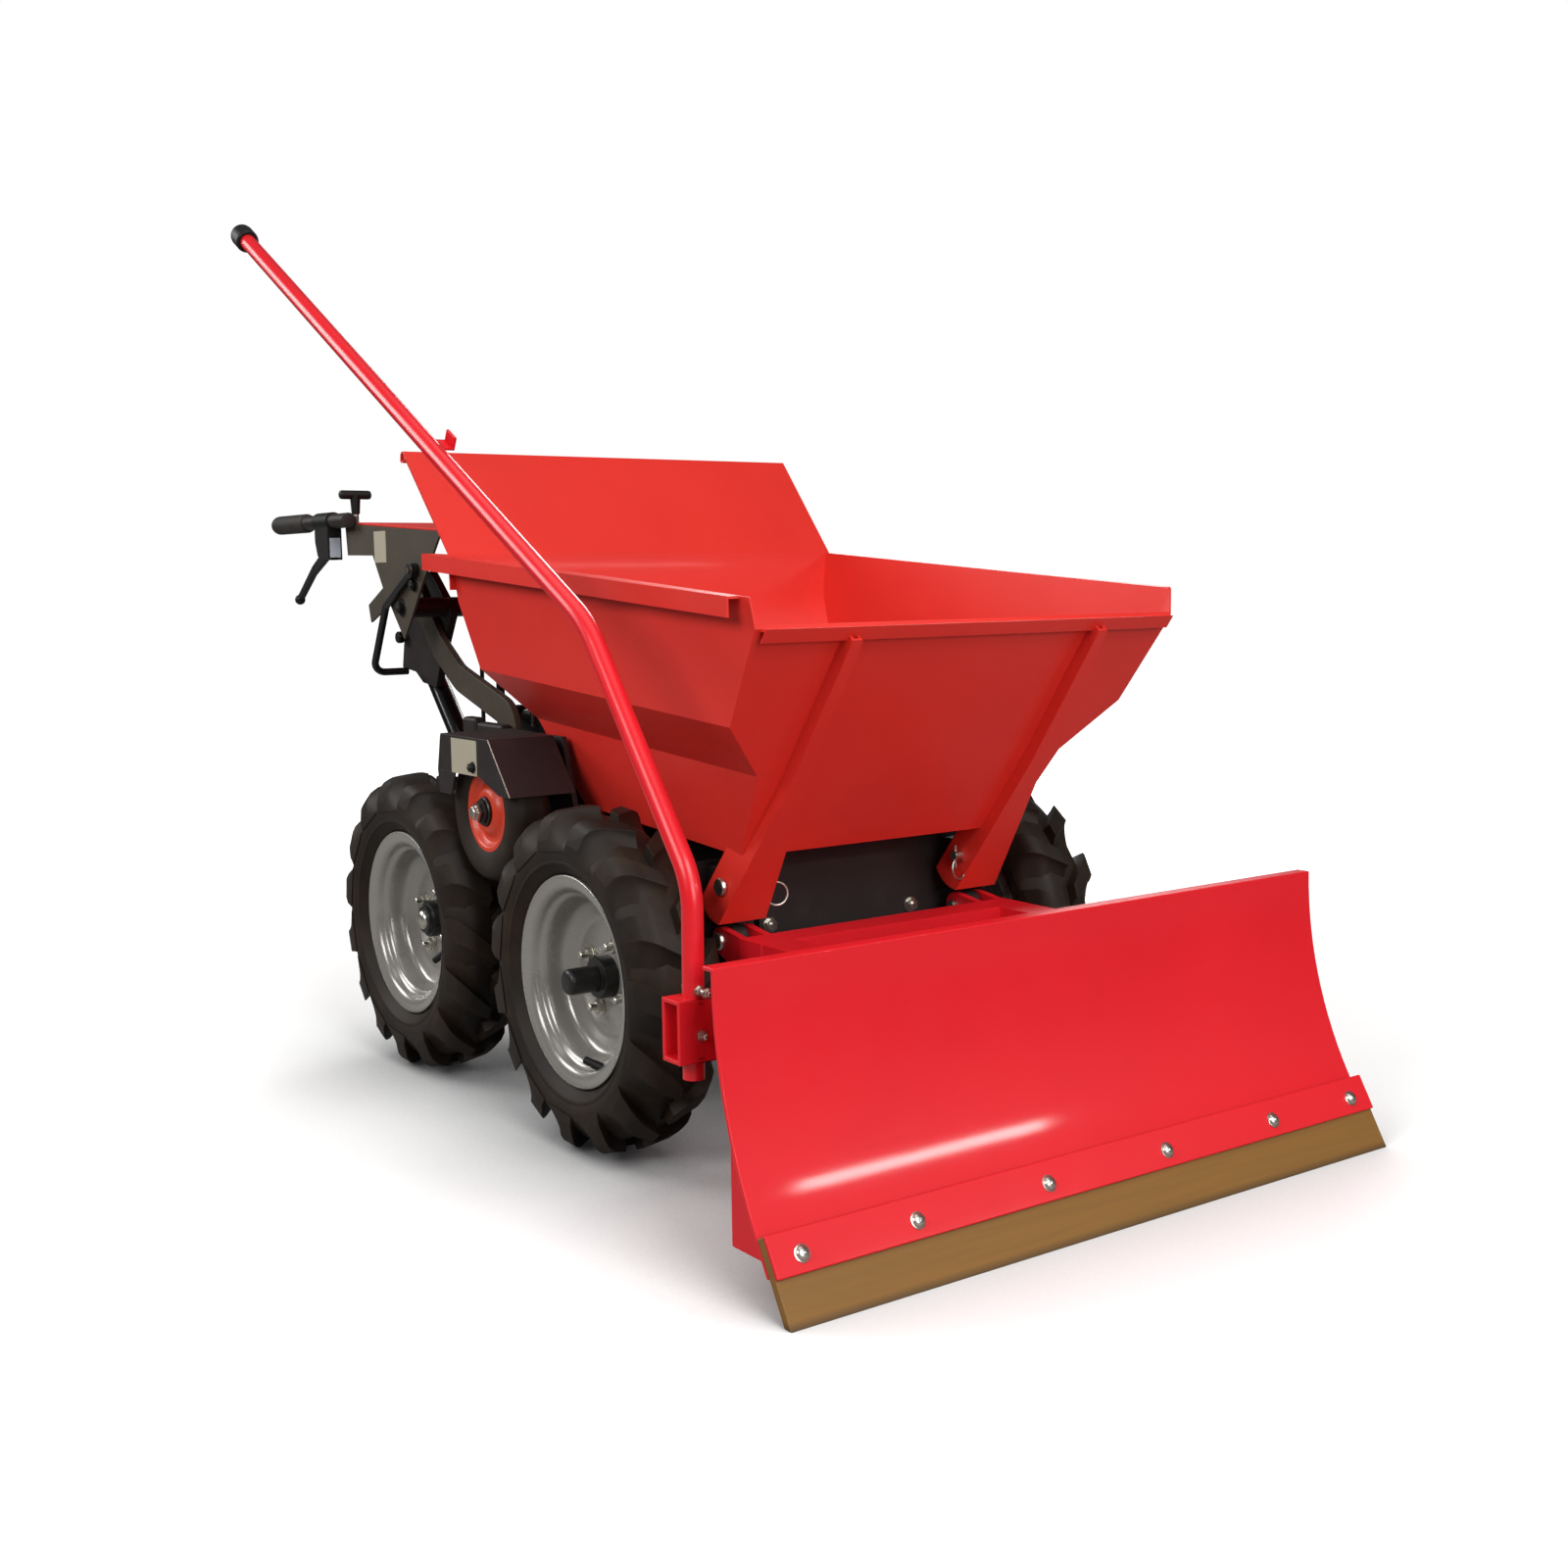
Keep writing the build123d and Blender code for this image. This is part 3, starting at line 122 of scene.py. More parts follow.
# studio: white sweep and soft boxes; powers fitted to the tones of the photograph
studio = dict(
    backdrop=1.0, skyTop=0.10, skyLow=0.04, skyRise=0.8, white=(1, 1, 1, 1),
    floorSize=60.0, floorColour="f4f4f3", floorBounce="7a7977", floorRough=0.9, floorGloss=0.1,
    whiteFrom=0.9, whiteTo=2.9, floorGlow=0.16, floorShade="2e2e31", shadowReach=0.4, shadowSamples=8,
    boxes=dict(
        overhead=dict(place=(0.3, -0.3, 3.4), aim=(0.2, 0, 0.4), size=(3.0, 2.2), power=26),
        keySide=dict(place=(1.2, -3.6, 2.4), aim=(0.1, -0.2, 0.5), size=(2.0, 1.6), power=78),
        frontHigh=dict(place=(3.6, -0.4, 3.2), aim=(0.6, 0, 0.4), size=(2.2, 1.6), power=86),
        frontLow=dict(place=(4.2, -0.6, 1.4), aim=(0.6, 0, 0.4), size=(2.0, 1.4), power=56),
        # narrow strip, level with the blade, for the bright line low on its curve
        bladeStrip=dict(place=(3.2, 1.85, 1.45), aim=(0.83, 1.85, 0.45), size=(0.95, 0.08), power=12),
        backRight=dict(place=(-2.8, -2.6, 2.4), aim=(-0.2, 0, 0.6), size=(2.0, 1.6), power=76),
        backLeft=dict(place=(-2.6, 2.8, 2.4), aim=(-0.2, 0, 0.5), size=(2.0, 1.6), power=70),
    ),
)
world = bpy.data.worlds.new("studioSky")
world.use_nodes = True
skyTree = world.node_tree
skyWay = addNode(skyTree, "ShaderNodeTexCoord", {}).outputs["Generated"]
skyHeight = addNode(skyTree, "ShaderNodeSeparateXYZ", {0: skyWay}).outputs["Z"]
skyLight = addNode(skyTree, "ShaderNodeMapRange", {
    "Value": skyHeight, "From Min": 0.0, "From Max": studio["skyRise"],
    "To Min": studio["skyLow"], "To Max": studio["skyTop"],
})
skySeen = addNode(skyTree, "ShaderNodeLightPath", {}).outputs["Is Camera Ray"]
skyGlow = addNode(skyTree, "ShaderNodeMix", {0: skySeen, 2: skyLight.outputs[0], 3: studio["backdrop"]})
feed(skyTree, skyTree.nodes["Background"], {"Color": studio["white"], "Strength": skyGlow.outputs[0]})
bpy.context.scene.world = world
bpy.context.scene.view_settings.view_transform = "Standard"
for name, box in studio["boxes"].items():
    lamp = bpy.data.lights.new(name, "AREA")
    lamp.shape = "RECTANGLE"
    lamp.size, lamp.size_y = box["size"]
    lamp.energy = box["power"]
    holder = bpy.data.objects.new(name, lamp)
    holder.location = box["place"]
    aim = Vector(box["aim"]) - holder.location
    holder.rotation_euler = aim.to_track_quat("-Z", "Y").to_euler()
    bpy.context.scene.collection.objects.link(holder)

# the sweep fades to pure white away from the machine, and throws less light back up than it shows; round the
# machine a painted shadow from ambient occlusion darkens it
floorMaterial, floorTree, floorShader, floorPlace = newMaterial("white painted floor")
floorMaterial.cycles.emission_sampling = "NONE"  # the glow is only seen, and lights nothing by itself
floorSeen = addNode(floorTree, "ShaderNodeLightPath", {}).outputs["Is Camera Ray"]
# painted shadow: ambient occlusion darkens the floor's seen colour towards floorShade round the machine
outsidePaintedShadow = addNode(
    floorTree, "ShaderNodeAmbientOcclusion", {"Distance": studio["shadowReach"]}, samples=studio["shadowSamples"],
).outputs["AO"]
paintedShadowTone = addNode(
    floorTree, "ShaderNodeMix", {0: outsidePaintedShadow, 6: linear(studio["floorShade"]), 7: linear(studio["floorColour"])},
    data_type="RGBA",
)
floorTone = addNode(
    floorTree, "ShaderNodeMix", {0: floorSeen, 6: linear(studio["floorBounce"]), 7: paintedShadowTone.outputs[2]},
    data_type="RGBA",
)
floorAway = addNode(floorTree, "ShaderNodeVectorMath", {0: floorPlace}, operation="LENGTH").outputs["Value"]
# the glow near the machine is dimmed by the same painted shadow
floorGlow = addNode(floorTree, "ShaderNodeMath", {0: outsidePaintedShadow, 1: studio["floorGlow"]}, operation="MULTIPLY")
floorFade = addNode(
    floorTree, "ShaderNodeMapRange",
    {
        "Value": floorAway, "From Min": studio["whiteFrom"], "From Max": studio["whiteTo"],
        "To Min": floorGlow.outputs[0], "To Max": floorSeen,
    },
    interpolation_type="SMOOTHSTEP",
)
feed(floorTree, floorShader, {
    "Base Color": floorTone.outputs[2], "Roughness": studio["floorRough"],
    "Specular IOR Level": studio["floorGloss"], "Emission Color": studio["white"],
    "Emission Strength": floorFade.outputs[0],
})
floorMesh = bmesh.new()
bmesh.ops.create_grid(floorMesh, x_segments=1, y_segments=1, size=studio["floorSize"] / 2)
floorData = bpy.data.meshes.new("studioFloor")
floorMesh.to_mesh(floorData)
floorMesh.free()
floorData.materials.append(floorMaterial)
floor = bpy.data.objects.new("studioFloor", floorData)
bpy.context.scene.collection.objects.link(floor)
print("camera and studio set")

# finishes by kind: size in mm, detail and roughness of each noise, how far it pulls the sheen, and shader values
finish = {}
socketNames = dict(
    ior="IOR", metal="Metallic", gloss="Specular IOR Level", coat="Coat Weight", coatRough="Coat Roughness",
)
# sprayed on sheet: broad tone drift, uneven sheen, orange peel in the gloss, dust in patches
sprayed = dict(
    noise=dict(tone=(170, 3.0, 0.5), sheen=(45, 5.0, 0.5)), spread=(-0.06, 0.08), dustRange=(0.55, 0.85, 0.45),
    grainDetail=1.0, depth=0.2, relief=0.1, look=dict(ior=1.5, metal=0.0, gloss=0.5, coat=0.0, coatRough=0.1),
)
# moulded rubber or plastic: dull, faintly brown where dust and mould wax lie
moulded = dict(
    noise=dict(tone=(60, 6.0, 0.6)), toneRange=(0.42, 0.75), spread=(-0.1, 0.1),
    grainDetail=3.0, depth=0.3, relief=0.25, look=dict(ior=1.52, gloss=0.25),
)
# plated or cast metal: faint bloom in the tone and fine scuffing in the sheen
metallic = dict(
    noise=dict(tone=(9, 4.0, 0.5), sheen=(1.2, 2.0, 0.5)), spread=(-0.08, 0.12), look=dict(metal=1.0),
)


def mixFinish(key, name, kind, colour, second, rough, grain=0.0, relief=None, dust=None, **look):
    # Two tones in patches, with the dust, the uneven sheen and the fine grain that its kind and the call ask for
    material, tree, shader, place = newMaterial(name)
    noise = dict(kind["noise"])
    if grain:
        noise["grain"] = (grain, kind["grainDetail"], 0.5)
    patches = {}
    for part, (size, detail, broken) in noise.items():
        patches[part] = addNode(tree, "ShaderNodeTexNoise", {
            "Vector": place, "Scale": 1 / (size * mm), "Detail": detail, "Roughness": broken,
        }).outputs[0]
    share, sheenFrom = patches["tone"], patches.get("sheen", patches["tone"])
    if "toneRange" in kind:
        low, high = kind["toneRange"]
        share = addNode(tree, "ShaderNodeMapRange", {"Value": share, "From Min": low, "From Max": high}).outputs[0]
    tone = addNode(tree, "ShaderNodeMix", {0: share, 6: linear(colour), 7: linear(second)}, data_type="RGBA")
    if dust:
        low, high, most = kind["dustRange"]
        lying = addNode(
            tree, "ShaderNodeMapRange", {"Value": sheenFrom, "From Min": low, "From Max": high, "To Max": most},
        ).outputs[0]
        tone = addNode(tree, "ShaderNodeMix", {0: lying, 6: tone.outputs[2], 7: linear(dust)}, data_type="RGBA")
    clean, worn = [rough + step for step in kind["spread"]]
    sheen = addNode(tree, "ShaderNodeMapRange", {"Value": sheenFrom, "To Min": clean, "To Max": worn})
    feed(tree, shader, {"Base Color": tone.outputs[2], "Roughness": sheen.outputs[0]})
    feed(tree, shader, {socketNames[k]: value for k, value in {**kind["look"], **look}.items()})
    if grain:
        strength = kind["relief"] if relief is None else relief
        bump = addNode(tree, "ShaderNodeBump", {
            "Height": patches["grain"], "Strength": strength, "Distance": kind["depth"] * mm,
        })
        feed(tree, shader, {"Normal": bump.outputs[0]})
    finish[key] = material


# warm red with a soft, broad sheen
mixFinish("skip", "orange-red powder coat", sprayed, "df3328", "d02b24", 0.40, 2.4, coat=0.04, gloss=0.28)
# cooler red with a hard, narrow highlight where the coat has flowed
mixFinish("blade", "red powder coat", sprayed, "de1b26", "d01722", 0.42, 2.4, coat=0.3, gloss=0.25, coatRough=0.07)
# the blade's red without that highlight, on welded frame parts
mixFinish("frame", "red frame paint", sprayed, "de1b26", "d01722", 0.42, 2.4, coat=0.05, gloss=0.3)
# smoother and wetter, with a long streak down the tube and its peel drawn coarse to show
mixFinish("lever", "red tube paint", sprayed, "de1b26", "d01722", 0.30, 9.0, 0.02, coat=0.12, gloss=0.4)
# brown-black, half dull, with a little dust
mixFinish("black", "black satin powder coat", sprayed, "2a2221", "1f1918", 0.46, 1.8, dust="3a3029", gloss=0.35)
# the same coat painted lighter, a painted light for black parts that stand lit, with dust in patches
mixFinish(
    "litBlackDusty", "black powder coat lightened as lit, with dust", sprayed, "4a4136", "3b342b", 0.5, 1.8, dust="5a4c3a", gloss=0.35,
)
# deep black with a clear reflection
mixFinish("bar", "gloss black bar enamel", sprayed, "0c0b0b", "080707", 0.18, 4.0, 0.02, coat=0.3)
# grey with metal flake under lacquer, so it mirrors softly
mixFinish("silver", "silver wheel lacquer", sprayed, "9d9994", "8f8b86", 0.26, 4.0, 0.012, coat=0.35, metal=0.4)
# strong orange, half gloss
mixFinish("idler", "orange wheel enamel", sprayed, "dd3d18", "c03213", 0.40, 1.8, coat=0.1)
# near black, half gloss
mixFinish("hub", "black hub enamel", sprayed, "0e0c0b", "090807", 0.42, 1.8, coat=0.1)
# buff and pale grey film, half dull
mixFinish("label", "blank printed foil", sprayed, "b3ab97", "a69d88", 0.45, 3.0)
mixFinish("paleLabel", "blank pale foil", sprayed, "b9bec8", "adb3bf", 0.42, 3.0)
# brown-black and matt, then softer grey-brown, then finer grained
mixFinish("tyre", "moulded tyre rubber", moulded, "1a120b", "2d2014", 0.58, 1.4)
mixFinish("rubber", "grey-brown grip rubber", moulded, "2b2724", "37322d", 0.62, 0.9)
mixFinish("plastic", "grained black plastic", moulded, "12100f", "1a1715", 0.50, 0.8, 0.15)
# bright with a yellow cast, dull grey, and nearly black
mixFinish("zinc", "bright zinc plate", metallic, "d4d3cd", "bdb8a8", 0.28)
mixFinish("alloy", "dark die-cast alloy", metallic, "6b6a69", "565553", 0.48)
mixFinish("heatCoat", "sooty steel sheet", metallic, "4a4643", "393532", 0.55)

# tan wear strip: extruded rubber, streaked along its length and darker at its foot
wearStrip = dict(
    colour="875b1c", streak="735017", foot="4a320d", streakSize=(14, 180, 6), footHeight=9, pit=2.5, pitDepth=0.4,
    relief=0.2, rough=0.6, ior=1.52,
)
tanRubber, tree, shader, place = newMaterial("tan wear rubber")
stretch = addNode(tree, "ShaderNodeMapping", {
    "Vector": place, "Scale": [1 / (size * mm) for size in wearStrip["streakSize"]],
})
streak = addNode(tree, "ShaderNodeTexNoise", {"Vector": stretch.outputs[0], "Scale": 1.0, "Detail": 5.0})
tone = addNode(
    tree, "ShaderNodeMix",
    {0: streak.outputs[0], 6: linear(wearStrip["colour"]), 7: linear(wearStrip["streak"])}, data_type="RGBA",
)
height = addNode(tree, "ShaderNodeSeparateXYZ", {0: place})
foot = addNode(tree, "ShaderNodeMapRange", {
    "Value": height.outputs["Z"], "From Min": wearStrip["footHeight"] * mm, "From Max": 0.0,
})
worn = addNode(
    tree, "ShaderNodeMix", {0: foot.outputs[0], 6: tone.outputs[2], 7: linear(wearStrip["foot"])},
    data_type="RGBA",
)
pit = addNode(tree, "ShaderNodeTexNoise", {"Vector": place, "Scale": 1 / (wearStrip["pit"] * mm), "Detail": 3.0})
bump = addNode(tree, "ShaderNodeBump", {
    "Height": pit.outputs[0], "Strength": wearStrip["relief"], "Distance": wearStrip["pitDepth"] * mm,
})
feed(tree, shader, {
    "Base Color": worn.outputs[2], "Roughness": wearStrip["rough"], "Normal": bump.outputs[0],
    "IOR": wearStrip["ior"],
})
finish["tan"] = tanRubber
print("finishes mixed:", len(finish))


def settle(bm, name, material, body, replaced=(), sharp=38):
    # Finished mesh becomes a piece that rides on its body
    for face in bm.faces:
        face.smooth = True
    data = bpy.data.meshes.new(name)
    bm.to_mesh(data)
    bm.free()
    data.set_sharp_from_angle(angle=math.radians(sharp))
    data.materials.append(finish[material])
    piece = bpy.data.objects.new(name, data)
    bpy.context.scene.collection.objects.link(piece)
    evened = piece.modifiers.new("evenShading", "WEIGHTED_NORMAL")
    evened.keep_sharp = True
    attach(piece, body)
    if replaced:
        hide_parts(*replaced)


def rounded(bm, edges, width, segments=2):
    bmesh.ops.bevel(
        bm, geom=edges, offset=width * mm, offset_type="OFFSET", affect="EDGES", segments=segments, profile=0.5,
        material=-1, clamp_overlap=True,
    )


def along(table, at):
    # Straight-line reading of a table of (place, value)
    for (p0, v0), (p1, v1) in zip(table, table[1:]):
        if at <= p1:
            return v0 + (v1 - v0) * (at - p0) / (p1 - p0)
    return table[-1][1]


# rear wall of the skip by height: steep between floor and flange, then the tall panel leans back; the lip's
# face follows the slope of the front wall
skipShape = dict(
    plane=((437, 85.65), (949, -259.7)), sheet=7.0, panelHalf=346,
    hemFoot=924, hemTop=945, hemRise=4, hemLean=0.75, lipTop=695, lipSlope=0.8, lipDepth=4,
    rear=((437, 48), (490, 8), (563, -44), (627, -80), (725, -120), (792, -123), (949, -259.7)),
)


def foldedRear(bm):
    shape = skipShape
    for height, _ in shape["rear"][1:-1]:
        wall = []
        for f in bm.faces:
            offs = [abs(v.co.x / mm - along(shape["plane"], v.co.z / mm)) for v in f.verts]
            if max(offs) < shape["sheet"]:
                wall.append(f)
        parts = dict.fromkeys(g for f in wall for g in (f, *f.edges, *f.verts))
        bmesh.ops.bisect_plane(bm, geom=list(parts), plane_co=(0, 0, height * mm), plane_no=(0, 0, 1), dist=1e-6)
    front = max(v.co.x for v in bm.verts) / mm
    for v in bm.verts:
        x, y, z = v.co / mm
        off = x - along(shape["plane"], z)
        if z > shape["hemFoot"] - 1:
            rise = shape["hemRise"] * (1 + (shape["hemTop"] - z) / (shape["hemTop"] - shape["hemFoot"]))
            v.co.z += rise * mm
            v.co.x -= shape["hemLean"] * rise * mm
        elif abs(off) < shape["sheet"]:
            v.co.x = (along(shape["rear"], z) + off) * mm
            if abs(y) > shape["panelHalf"]:
                v.co.y = math.copysign(shape["panelHalf"], y) * mm
        elif x > front - shape["lipDepth"] and z < shape["lipTop"]:
            v.co.x -= shape["lipSlope"] * (shape["lipTop"] - z) * mm


# bolts along the blade's foot: where the solids have them, and their true stations
edgeBolts = dict(
    drilled=(-444, -266.4, -88.8, 88.8, 266.4, 444), stations=(-444, -290, -97, 97, 290, 444), hole=5.8,
    seat=(875.34, 65.0), lean=30, stack=21, nut=(6, 9, 5, 4, 1.5), headSteps=28,
    head=((0.01, 0), (9.8, 0), (9.8, 1.2), (8.1, 1.6), (7.8, 2.8), (6.4, 4.5), (3.9, 5.6), (0.01, 6)),
)
boltWay = Vector((math.cos(math.radians(edgeBolts["lean"])), 0, math.sin(math.radians(edgeBolts["lean"]))))


def filled(bm, places, way, radius):
    # Holes closed where a bolt or tube covers its own
    walls = {}
    for place in places:
        for f in bm.faces:
            away = f.calc_center_median() - Vector(place) * mm
            if (away - way * away.dot(way)).length < radius * mm:
                walls[f] = place
    bmesh.ops.delete(bm, geom=list(walls), context="FACES")
    bmesh.ops.holes_fill(bm, edges=[e for e in bm.edges if e.is_boundary], sides=0)


def plugged(bm):
    x, z = edgeBolts["seat"]
    filled(bm, [(x, y, z) for y in edgeBolts["drilled"]], boltWay, edgeBolts["hole"])


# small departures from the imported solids, measured on the photograph
cleanerFit = dict(front=-95, stretch=1.875)
perchFit = dict(start=-684, squeeze=0.3)
noseFit = dict(start=36, inner=277)
beamFit = dict(front=719, wall=5, slimmer=14, leverHole=(694, -452, 265), leverGap=13)
ribFit = dict(plane=459, reach=12, top=205)


def scaledFrom(v, start, share):
    v.co.x = start * mm + (v.co.x - start * mm) * share


def longCleaner(bm):
    for v in bm.verts:
        scaledFrom(v, cleanerFit["front"], cleanerFit["stretch"])


def shortPerch(bm):
    for v in bm.verts:
        if v.co.x < perchFit["start"] * mm:
            scaledFrom(v, perchFit["start"], perchFit["squeeze"])


def trimmedNose(bm):
    for v in bm.verts:
        if v.co.x > noseFit["start"] * mm and abs(v.co.y) < noseFit["inner"] * mm:
            v.co.y = math.copysign(noseFit["inner"] * mm, v.co.y)


def slimBeam(bm):
    filled(bm, [beamFit["leverHole"]], Vector((0, 0, 1)), beamFit["leverGap"])
    for v in bm.verts:
        if v.co.x > (beamFit["front"] - beamFit["wall"] - 1) * mm:
            v.co.x -= beamFit["slimmer"] * mm


def setRibs(bm):
    # Ribs meet the slimmer beam, and the outer two end below it
    for v in bm.verts:
        if abs(v.co.x - beamFit["front"] * mm) < 1 * mm:
            v.co.x -= beamFit["slimmer"] * mm
    reach = ribFit["reach"] * mm
    outer = [f for f in bm.faces if abs(abs(f.calc_center_median().y) - ribFit["plane"] * mm) < reach]
    parts = dict.fromkeys(g for f in outer for g in (f, *f.edges, *f.verts))
    bmesh.ops.bisect_plane(
        bm, geom=list(parts), plane_co=(0, 0, ribFit["top"] * mm), plane_no=(0, 0, 1), clear_outer=True,
    )
    bmesh.ops.holes_fill(bm, edges=[e for e in bm.edges if e.is_boundary], sides=0)


reshaped = dict(
    skip_tub=foldedRear, moldboard=plugged, clamp_strip=plugged, cutting_edge=plugged, blade_beam=slimBeam,
    blade_ribs=setRibs, air_cleaner=longCleaner, lever_perches=shortPerch, idler_hoods=trimmedNose,
)

# sheet and plate pieces: finish, then the edge radius of each in mm; angles in degrees, areas in square metres
sheetPieces = dict(
    skip=dict(skip_tub=1.0, skip_leg_left=1.5, skip_leg_right=1.5, console_deck=1.0),
    blade=dict(moldboard=1.6), frame=dict(blade_frame=2.5, blade_beam=2.0, blade_ribs=1.5, clamp_strip=1.4),
    tan=dict(cutting_edge=1.6),
    black=dict(
        chassis_frame=1.2, front_cover=1.4, idler_hoods=1.2, engine_cowl=0.0, gearbox=0.0, idler_brackets=1.0,
    ),
    # the console plates take the lighter black, a painted light
    litBlackDusty=dict(console_plates=1.0),
    plastic=dict(
        gear_gate=2.0, lever_perches=2.5, drive_lever=2.4, brake_lever=2.4, air_cleaner=0.0, fuel_tank=0.0,
        recoil_cover=1.0,
    ),
    rubber=dict(skip_buffers=1.5),
    alloy=dict(engine_block=0.6),
    heatCoat=dict(muffler=0.0),
)
sheetFit = dict(weld=0.02, flat=0.6, foldTurn=8, foldArea=0.004, edgeTurn=28)
foldRadius = dict(skip_tub=4.0)


def turnsBy(edge, degrees):
    return edge.is_manifold and edge.calc_face_angle() > math.radians(degrees)


def softened(nodeName, width, material, folds):
    # Copy of a CAD node: triangles joined to flat faces, folds rolled, then cut edges broken
    bm = bmesh.new()
    bm.from_mesh(nodes[nodeName].data)
    bmesh.ops.remove_doubles(bm, verts=bm.verts, dist=sheetFit["weld"] * mm)
    bmesh.ops.dissolve_limit(bm, angle_limit=math.radians(sheetFit["flat"]), verts=bm.verts, edges=bm.edges)
    if nodeName in reshaped:
        reshaped[nodeName](bm)
    if folds:
        wide = [
            e for e in bm.edges
            if turnsBy(e, sheetFit["foldTurn"]) and min(f.calc_area() for f in e.link_faces) > sheetFit["foldArea"]
        ]
        rounded(bm, wide, folds, 3)
    if width:
        rounded(bm, [e for e in bm.edges if turnsBy(e, sheetFit["edgeTurn"])], width)
    pieceName = "".join(w.title() if i else w for i, w in enumerate(nodeName.split("_")))
    settle(bm, pieceName, material, nodes[nodeName]["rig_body"], [nodeName])


for coat, pieces in sheetPieces.items():
    for nodeName, width in pieces.items():
        softened(nodeName, width, coat, foldRadius.get(nodeName, 0.0))
print("sheet metal folded and its edges broken")


def spun(points, steps, rounding=0.0):
    # Closed profile of (radius, offset along the axle) turned once round Y
    bm = bmesh.new()
    ring = [bm.verts.new((0, y * mm, r * mm)) for r, y in points]
    for a, b in zip(ring, ring[1:] + ring[:1]):
        bm.edges.new((a, b))
    if rounding:
        bmesh.ops.bevel(
            bm, geom=[v for v in bm.verts if v.co.z > mm], offset=rounding * mm, affect="VERTICES", segments=2,
            profile=0.5, material=-1, clamp_overlap=True,
        )
    bmesh.ops.spin(
        bm, geom=bm.verts[:] + bm.edges[:], cent=(0, 0, 0), axis=(0, 1, 0), angle=2 * math.pi, steps=steps,
        use_merge=True,
    )
    bmesh.ops.remove_doubles(bm, verts=bm.verts, dist=0.03 * mm)
    bmesh.ops.recalc_face_normals(bm, faces=bm.faces)
    return bm


def sided(points, side):
    # Profile for the left (1) or the right (-1) of the machine
    return [(r, side * y) for r, y in points]


def ringOf(count, radius, start=0.0):
    # Places round a circle
    turns = [start + 2 * math.pi * n / count for n in range(count)]
    return [(radius * math.cos(t), radius * math.sin(t)) for t in turns]


def turned(bm, matrix):
    bmesh.ops.rotate(bm, verts=bm.verts, cent=(0, 0, 0), matrix=matrix)


def moved(bm, vec):
    bmesh.ops.translate(bm, verts=bm.verts, vec=vec)


def aimed(bm, direction, place):
    # Shape made along +Y, turned to a direction and set in its place
    turned(bm, Vector((0, 1, 0)).rotation_difference(Vector(direction)).to_matrix())
    moved(bm, Vector(place) * mm)
    return bm


def lathed(shape, part, way, place, side=1):
    # Turned part of a piece with its own or the piece's number of steps, aimed and set in its place
    steps = shape.get(f"{part}Steps") or shape["steps"]
    return aimed(spun(sided(shape[part], side), steps), way, place)


def joined(*parts):
    # Several meshes in one
    whole = bmesh.new()
    for bm in parts:
        data = bpy.data.meshes.new("part")
        bm.to_mesh(data)
        bm.free()
        whole.from_mesh(data)
        bpy.data.meshes.remove(data)
    return whole


def pick(geom, kind):
    return [g for g in geom if isinstance(g, kind)]


tubeSteps = dict(run=60, bendTurn=4, leastTurns=4)


def tube(points, bends, radius, segments=24, flat=None):
    # Bar along straight runs with tangent bends, closed at both ends: round, or flat with a width and a thickness
    route = [Vector(p) * mm for p in points]
    bm = bmesh.new()
    sides = 4 if flat else segments
    ring = bmesh.ops.create_circle(bm, cap_ends=True, radius=radius * mm, segments=sides)["verts"]
    if flat:
        turned(bm, Matrix.Rotation(math.pi / 4, 3, "Z"))
        bmesh.ops.scale(bm, verts=ring, vec=(flat[0] / radius / math.sqrt(2), flat[1] / radius / math.sqrt(2), 1))
    turned(bm, Vector((0, 0, 1)).rotation_difference(route[1] - route[0]).to_matrix())
    moved(bm, route[0])
    edges, here = bm.edges[:], route[0]
    for i in range(1, len(route)):
        run = (route[i] - route[i - 1]).normalized()
        bend = bends[i - 1] * mm if i < len(route) - 1 else 0.0
        leave = (route[i + 1] - route[i]).normalized() if bend else run
        angle = run.angle(leave)
        setback = bend * math.tan(angle / 2)
        stop = route[i] - run * setback
        pieces = max(1, round((stop - here).length / (tubeSteps["run"] * mm)))
        for _ in range(pieces):
            grown = bmesh.ops.extrude_edge_only(bm, edges=edges)["geom"]
            ring = pick(grown, bmesh.types.BMVert)
            edges = [e for e in pick(grown, bmesh.types.BMEdge) if all(v in ring for v in e.verts)]
            bmesh.ops.translate(bm, verts=ring, vec=(stop - here) / pieces)
        here = stop
        if bend:
            axis = run.cross(leave).normalized()
            last = bmesh.ops.spin(
                bm, geom=ring + edges, cent=stop + axis.cross(run) * bend, axis=axis, angle=angle,
                steps=max(tubeSteps["leastTurns"], round(math.degrees(angle) / tubeSteps["bendTurn"])),
            )["geom_last"]
            ring = pick(last, bmesh.types.BMVert)
            edges = pick(last, bmesh.types.BMEdge)
            here = route[i] + leave * setback
    bmesh.ops.edgeloop_fill(bm, edges=edges)
    bmesh.ops.recalc_face_normals(bm, faces=bm.faces)
    return bm


def brick(low, high, rounding, segments=2):
    # Plate or block between two corners with broken edges
    bm = bmesh.new()
    bmesh.ops.create_cube(bm, size=1.0)
    low, high = Vector(low) * mm, Vector(high) * mm
    bmesh.ops.scale(bm, vec=high - low, verts=bm.verts)
    moved(bm, (low + high) / 2)
    rounded(bm, bm.edges[:], rounding, segments)
    return bm


